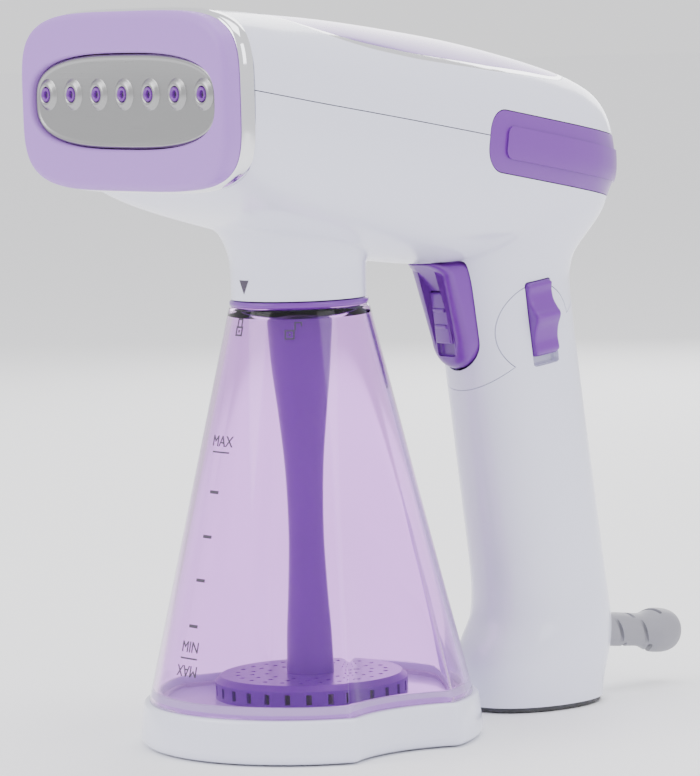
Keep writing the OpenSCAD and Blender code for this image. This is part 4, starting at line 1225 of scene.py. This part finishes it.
    def marks(self) -> None:
        """The level marks, the two words and the padlocks."""
        front = -QUARTER
        parts = [self.letters("MAX", 3.9, 108.6, front), self.letters("MIN", 3.9, 38.0, front),
                 self.letters("MAX", 3.9, 30.2, front, over=True)]
        parts += [self.bar(9.4, 0.55, z, front) for z in (105.0, 34.3)]
        parts += [self.bar(4.8, 1.1, z, front) for z in (91.3, 76.0, 61.0, 45.3)]
        parts += self.padlock(148.0, front, False) + self.padlock(147.0, front + math.pi / 4, True)
        piece = join("level_marks", parts)
        tidy_mesh(piece)
        self.dresser.dress(piece, "tank", "print_ink", "tank_marks")

    def build(self) -> None:
        """Builds the whole tank."""
        self.shell()
        self.base()
        self.collar()
        self.tube()
        self.marks()


# ---- Trigger, sliders and cord relief ----


@dataclass
class Controls:
    """The trigger with its lock, the power slider and the openings they sit in."""

    dresser: Dresser
    form: BodyForm
    width: float = 21.0
    low_z: float = 126.0
    top_z: float = 163.0
    lock_z: float = 145.5
    proud: float = 3.4
    lock_w: float = 9.0
    lock_len: float = 19.0
    power_w: float = 11.4
    power_len: float = 27.0
    power_travel: float = 3.4
    switch_z: float = 144.0
    gap: float = 0.4
    curl_z: float = 154.5
    curl: float = 0.078
    curl_reach: float = 12.0
    pointer_z: float = 161.9

    @property
    def lean(self) -> float:
        """The handle's lean as an angle."""
        return math.atan(self.form.lean)

    def front(self, z: float) -> float:
        """Y of the handle's front at a height."""
        return self.form.handle_mid(z) - self.form.handle_d / 2

    def on_trigger(self) -> Matrix:
        """The trigger's place: -Y is out of the handle."""
        return at(0, self.front(self.lock_z), self.lock_z, self.lean)

    def on_power(self) -> Matrix:
        """The power slider's place: +X is out of the handle."""
        return at(self.form.handle_w / 2, self.form.handle_mid(self.switch_z), self.switch_z, self.lean)

    def stadium(self, half: float, low: float, high: float, y: float, top_round: float,
                count: int = 24) -> Ring:
        """A flat-sided outline with a round foot, in XZ at one Y.

        Args:
            half: half width, and the foot's radius.
            low: lowest point.
            high: highest point.
            y: its place along Y.
            top_round: radius of the top corners.
            count: steps round each end.

        Returns:
            The outline.
        """
        spots = [(half * math.cos(math.pi + math.pi * k / count), y,
                  low + half + half * math.sin(math.pi + math.pi * k / count)) for k in range(count + 1)]
        corner = min(top_round, half)
        for side, start in ((1, 0.0), (-1, QUARTER)):
            for k in range(count // 2 + 1):
                turn = start + QUARTER * k / (count // 2)
                spots.append((side * (half - corner) + corner * math.cos(turn), y,
                              high - corner + corner * math.sin(turn)))
        return spots[:len(spots) - len(spots) % 4]

    def holes(self) -> list[bpy.types.Object]:
        """Fresh solids of every opening in the handle's shells."""
        half, depth = self.width / 2 + self.gap, 11.0
        rings = [[(x, y, z) for x, _, z in self.stadium(half, self.low_z - 0.6, self.top_z + 19, 0, 3)]
                 for y in (-12.0, depth)]
        lever = loft("lever_hole", [[(x, y + self.front(z), z) for x, y, z in ring] for ring in rings])
        reach = self.power_len / 2 + self.gap
        power = rounded_block("power_hole", (-7, -self.power_w / 2 - self.gap, -reach - self.power_travel),
                              (12, self.power_w / 2 + self.gap, reach), 1.2)
        move(power, self.on_power())
        relief = turned("relief_hole", [(0.01, -14), (6.55, -14), (6.55, 14), (0.01, 14)], 64, loop=False)
        return [lever, power, move(relief, CordRelief.place(self.form))]

    def trigger(self) -> None:
        """The crowned trigger, whose top curls forward under the head."""
        half, low, high = self.width / 2, -19.5, 20.5
        depths = [(5.0, 0.0), (0.9, 0.0)] + [(0.9 - (self.proud + 0.9) * math.sin(QUARTER * k / 8),
                                              4.6 * (1 - math.cos(QUARTER * k / 8))) for k in range(1, 9)]
        rings = [self.stadium(half - inset, low + inset, high - inset * 0.3, y, 4) for y, inset in depths]
        piece = loft("squeeze_trigger", rings)
        slot = rounded_block("lock_slot", (-self.lock_w / 2 - 0.35, -self.proud - 3,
                                           -self.lock_len / 2 - 4.8),
                             (self.lock_w / 2 + 0.35, -self.proud + 1.9, self.lock_len / 2 + 0.5), 1.0)
        carve(piece, slot)
        move(piece, self.on_trigger())
        arms = []
        low_box, high_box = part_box("trigger_pin")
        pin_y, pin_z = (low_box[1] + high_box[1]) / 2 / MM, (low_box[2] + high_box[2]) / 2 / MM
        for side in (-1, 1):
            arms.append(rounded_block("arm", (side * 7 - 1.5, pin_y - 4, pin_z - 16),
                                      (side * 7 + 1.5, pin_y + 4, pin_z), 0.8))
        barrel = turned("barrel", [(1.7, -10.4), (3.6, -10.4), (4.0, -10.0), (4.0, 10.0), (3.6, 10.4),
                                   (1.7, 10.4)], 48)
        arms.append(move(barrel, at(0, pin_y, pin_z) @ Matrix.Rotation(QUARTER, 4, "Y")))
        for vertex in piece.data.vertices:
            rise = vertex.co.z / MM - self.curl_z
            if rise > 0 and vertex.co.y / MM - self.front(vertex.co.z / MM) < 3.0:
                vertex.co.y -= min(rise, self.curl_reach) ** 2 * self.curl * MM
        arrow = prism("arrow", [(-2.2, 0.0), (0.0, 3.2), (2.2, 0.0), (0.9, 0.0), (0.9, -2.4), (-0.9, -2.4),
                                (-0.9, 0.0)],
                      -0.4, 0.5)
        move(arrow, self.on_trigger() @ Matrix.Translation((0, (-self.proud + 0.1) * MM, 13.8 * MM))
             @ Matrix.Rotation(QUARTER, 4, "X"))
        piece = join("squeeze_trigger", [piece, *arms, arrow])
        smooth(piece, 40)
        self.dresser.dress(piece, "trigger_lever", "purple_plastic", "trigger")

    def lock(self) -> None:
        """The ribbed lock slider in the trigger."""
        half, length = self.lock_w / 2, self.lock_len / 2
        body = rounded_block("lock_button", (-half, -self.proud - 0.9, -length),
                             (half, -self.proud + 1.5, length), 0.9)
        parts = [body]
        for z in (-3.0, 3.0):
            parts.append(rounded_block("rib", (-half + 1.2, -self.proud - 1.6, z - 0.8),
                                       (half - 1.2, -self.proud, z + 0.8), 0.5))
        piece = join("lock_button", parts)
        move(piece, self.on_trigger())
        smooth(piece, 40)
        self.dresser.dress(piece, "lock_slide", "purple_plastic", "trigger_lock")

    def slider(self) -> None:
        """The power slider with its ridge between two thumb hollows."""
        side = Stations(((-13.5, 0.6), (-12.0, 1.5), (-8.0, 1.3), (-4.5, 2.1), (-2.6, 3.0), (-0.4, 4.3),
                         (1.4, 4.6),
                         (3.2, 3.2), (6.0, 1.5), (9.5, 1.1), (12.3, 1.7), (13.5, 1.0)))
        steps, half = 44, self.power_w / 2
        rings = []
        for k in range(steps + 1):
            z = -self.power_len / 2 + self.power_len * k / steps
            x, r = side.value(z, 1), 1.1
            tuck = max(0.0, 1.2 - (self.power_len / 2 - abs(z))) * 0.5
            top, w = x - tuck * 0.6, half - tuck
            corner = [(top - r + r * math.cos(a), w - r + r * math.sin(a)) for a in
                      (QUARTER * j / 5 for j in range(6))]
            outline = corner + [(-4.8, w)] + [(-4.8, -w)] + [(cx, -cy) for cx, cy in reversed(corner)]
            outline += [(top, -w / 3), (top, w / 3)]
            rings.append([(px, py, z) for px, py in outline])
        piece = loft("power_button", rings)
        move(piece, self.on_power())
        smooth(piece, 45)
        self.dresser.dress(piece, "power_slide", "purple_plastic", "power_slider")
        self.well()

    def well(self) -> None:
        """The white tray that the power slider runs in."""
        half, high = self.power_w / 2 + 0.3, self.power_len / 2 + 0.3
        low = -high - self.power_travel
        tray = rounded_block("switch_well", (-6.2, -half - 1.2, low - 1.2), (-3.0, half + 1.2, high + 1.2),
                             0.3)
        carve(tray, rounded_block("well_room", (-5.4, -half, low), (0, half, high), 0.9))
        smooth(tray, 40)
        self.dresser.dress(move(tray, self.on_power()), "housing", "white_shell")

    def pointer(self) -> None:
        """The printed triangle on the neck that points at the padlocks."""
        form = self.form
        mark = prism("neck_mark", [(-2.6, 2.4), (2.6, 2.4), (1.3, 0.0), (0.0, -2.4), (-1.3, 0.0)], -0.02, 0.1)
        for vertex in mark.data.vertices:
            x, y, depth = (c / MM for c in vertex.co)
            r = form.neck_r + 0.03 + depth
            turn = -QUARTER + x / r
            vertex.co = Vector((r * math.cos(turn), r * math.sin(turn), self.pointer_z + y)) * MM
        self.dresser.dress(mark, "housing", "print_ink")

    def build(self) -> None:
        """Builds every control."""
        self.trigger()
        self.lock()
        self.slider()
        self.pointer()


@dataclass
class CordRelief:
    """The bend relief at the back of the handle."""

    dresser: Dresser
    form: BodyForm
    length: float = 36.0
    neck_r: float = 6.3
    mouth_r: float = 8.4
    bore_r: float = 3.6
    slots: int = 4
    slot_first: float = 5.2
    slot_pitch: float = 6.2
    slot_tilt: float = 24.0

    @staticmethod
    def place(form: BodyForm, z: float = 23.2) -> Matrix:
        """Where the cord leaves the handle: Z runs out of its back."""
        return at(0, form.handle_mid(z) + form.handle_d / 2, z, -QUARTER - math.atan(form.lean))

    def build(self) -> None:
        """Turns the relief, cuts its staggered slots and dresses it."""
        inner, length, mouth = -9.0, self.length, self.mouth_r
        profile = [(self.bore_r, inner), (8.3, inner), (8.3, inner + 2), (self.neck_r, inner + 2),
                   (self.neck_r, 0.0),
                   (self.neck_r + 0.1, length * 0.2), (self.neck_r - 0.1, length * 0.45)]
        profile += [(self.neck_r - 0.1 + (mouth - self.neck_r + 0.1) * (1 - math.cos(math.pi * k / 8)) / 2,
                     length * (0.5 + 0.24 * k / 8)) for k in range(9)]
        profile += [(mouth - 3.2 * (1 - math.cos(QUARTER * k / 8)),
                     length * (0.8 + 0.2 * math.sin(QUARTER * k / 8)))
                    for k in range(9)]
        profile += [(self.bore_r + 0.3, length), (self.bore_r, length - 0.4)]
        piece = turned("bend_relief", profile, 72)
        for k in range(self.slots):
            for side in (0, 1):
                slot = rounded_block("slot", (4.6, -5.4, -0.9), (12, 5.4, 0.9), 0.6, 2)
                tilt = Matrix.Rotation(math.radians(self.slot_tilt), 4, "X")
                turn = Matrix.Rotation(math.pi * side + QUARTER * (k % 2), 4, "Z")
                lift = Matrix.Translation((0, 0, (self.slot_first + self.slot_pitch * k) * MM))
                carve(piece, move(slot, lift @ turn @ tilt))
        move(piece, self.place(self.form))
        smooth(piece, 38)
        self.dresser.dress(piece, "housing", "grey_rubber", "strain_relief")


# ---- Studio ----


@dataclass(frozen=True)
class Lamp:
    """A soft square light."""

    name: str
    place: Point
    target: Point
    size: float
    power: float
    color: Point = (1.0, 1.0, 1.0)

    def hang(self) -> None:
        """Adds the light."""
        data = bpy.data.lights.new(self.name, "AREA")
        data.size, data.energy, data.color = self.size, self.power, self.color
        lamp = bpy.data.objects.new(self.name, data)
        bpy.context.collection.objects.link(lamp)
        lamp.location = self.place
        lamp.rotation_euler = (Vector(self.target) - Vector(self.place)).to_track_quat("-Z", "Y").to_euler()


class Studio:
    """Floor, lights, surroundings and camera."""

    FLOOR = 160.0
    CAMERA = (1.20696, -0.9165, 0.2584)
    AIM = (0.01047, 0.01347, 0.12417)
    ROLL = -1.7293
    LENS = 199.5

    def build(self) -> None:
        """Sets up the studio."""
        middle = (0.0, 0.03, 0.13)
        for lamp in (Lamp("key", (-0.5, -1.4, 1.1), middle, 1.1, 15.5),
                     Lamp("fill", (1.6, 0.3, 0.9), middle, 0.9, 7.5, (0.97, 0.97, 1.0)),
                     Lamp("top", (0.1, 0.2, 1.6), middle, 1.2, 15.0),
                     Lamp("back", (-0.9, 1.2, 0.7), middle, 0.9, 10.0)):
            lamp.hang()
        world = bpy.context.scene.world or bpy.data.worlds.new("studio")
        bpy.context.scene.world = world
        world.use_nodes = True
        world.node_tree.nodes["Background"].inputs["Color"].default_value = (0.98, 0.98, 1.0, 1)
        world.node_tree.nodes["Background"].inputs["Strength"].default_value = 1.25
        deselect_all()
        bpy.ops.mesh.primitive_plane_add(size=self.FLOOR, location=(0, 0, -0.0005))
        floor = bpy.context.object
        floor.name = "floor"
        paper = bpy.data.materials.new("studio_paper")
        paper.use_nodes = True
        paper.node_tree.nodes["Principled BSDF"].inputs["Base Color"].default_value = (0.97, 0.97, 0.98, 1)
        paper.node_tree.nodes["Principled BSDF"].inputs["Roughness"].default_value = 0.9
        floor.data.materials.append(paper)
        self.camera()

    def camera(self) -> None:
        """Adds the camera."""
        data = bpy.data.cameras.new("camera")
        data.lens, data.sensor_width = self.LENS, 36.0
        data.clip_start, data.clip_end = 0.05, 20.0
        camera = bpy.data.objects.new("camera", data)
        bpy.context.collection.objects.link(camera)
        camera.location = self.CAMERA
        look = (Vector(self.AIM) - Vector(self.CAMERA)).to_track_quat("-Z", "Y").to_matrix().to_4x4()
        roll = Matrix.Rotation(math.radians(self.ROLL), 4, "Z")
        camera.matrix_world = Matrix.Translation(self.CAMERA) @ look @ roll
        bpy.context.scene.camera = camera


def main() -> None:
    """Builds the steamer's looks piece by piece."""
    logging.basicConfig(level=logging.INFO, format="%(name)s %(message)s")
    Studio().build()
    dresser, form = Dresser(), BodyForm()
    dresser.dress_nodes()
    controls = Controls(dresser, form)
    BodyShells(form, dresser).build(controls.holes)
    SteamFace(dresser, form).build()
    WaterTank(dresser).build()
    controls.build()
    CordRelief(dresser, form).build()


if __name__ == "__main__":
    main()
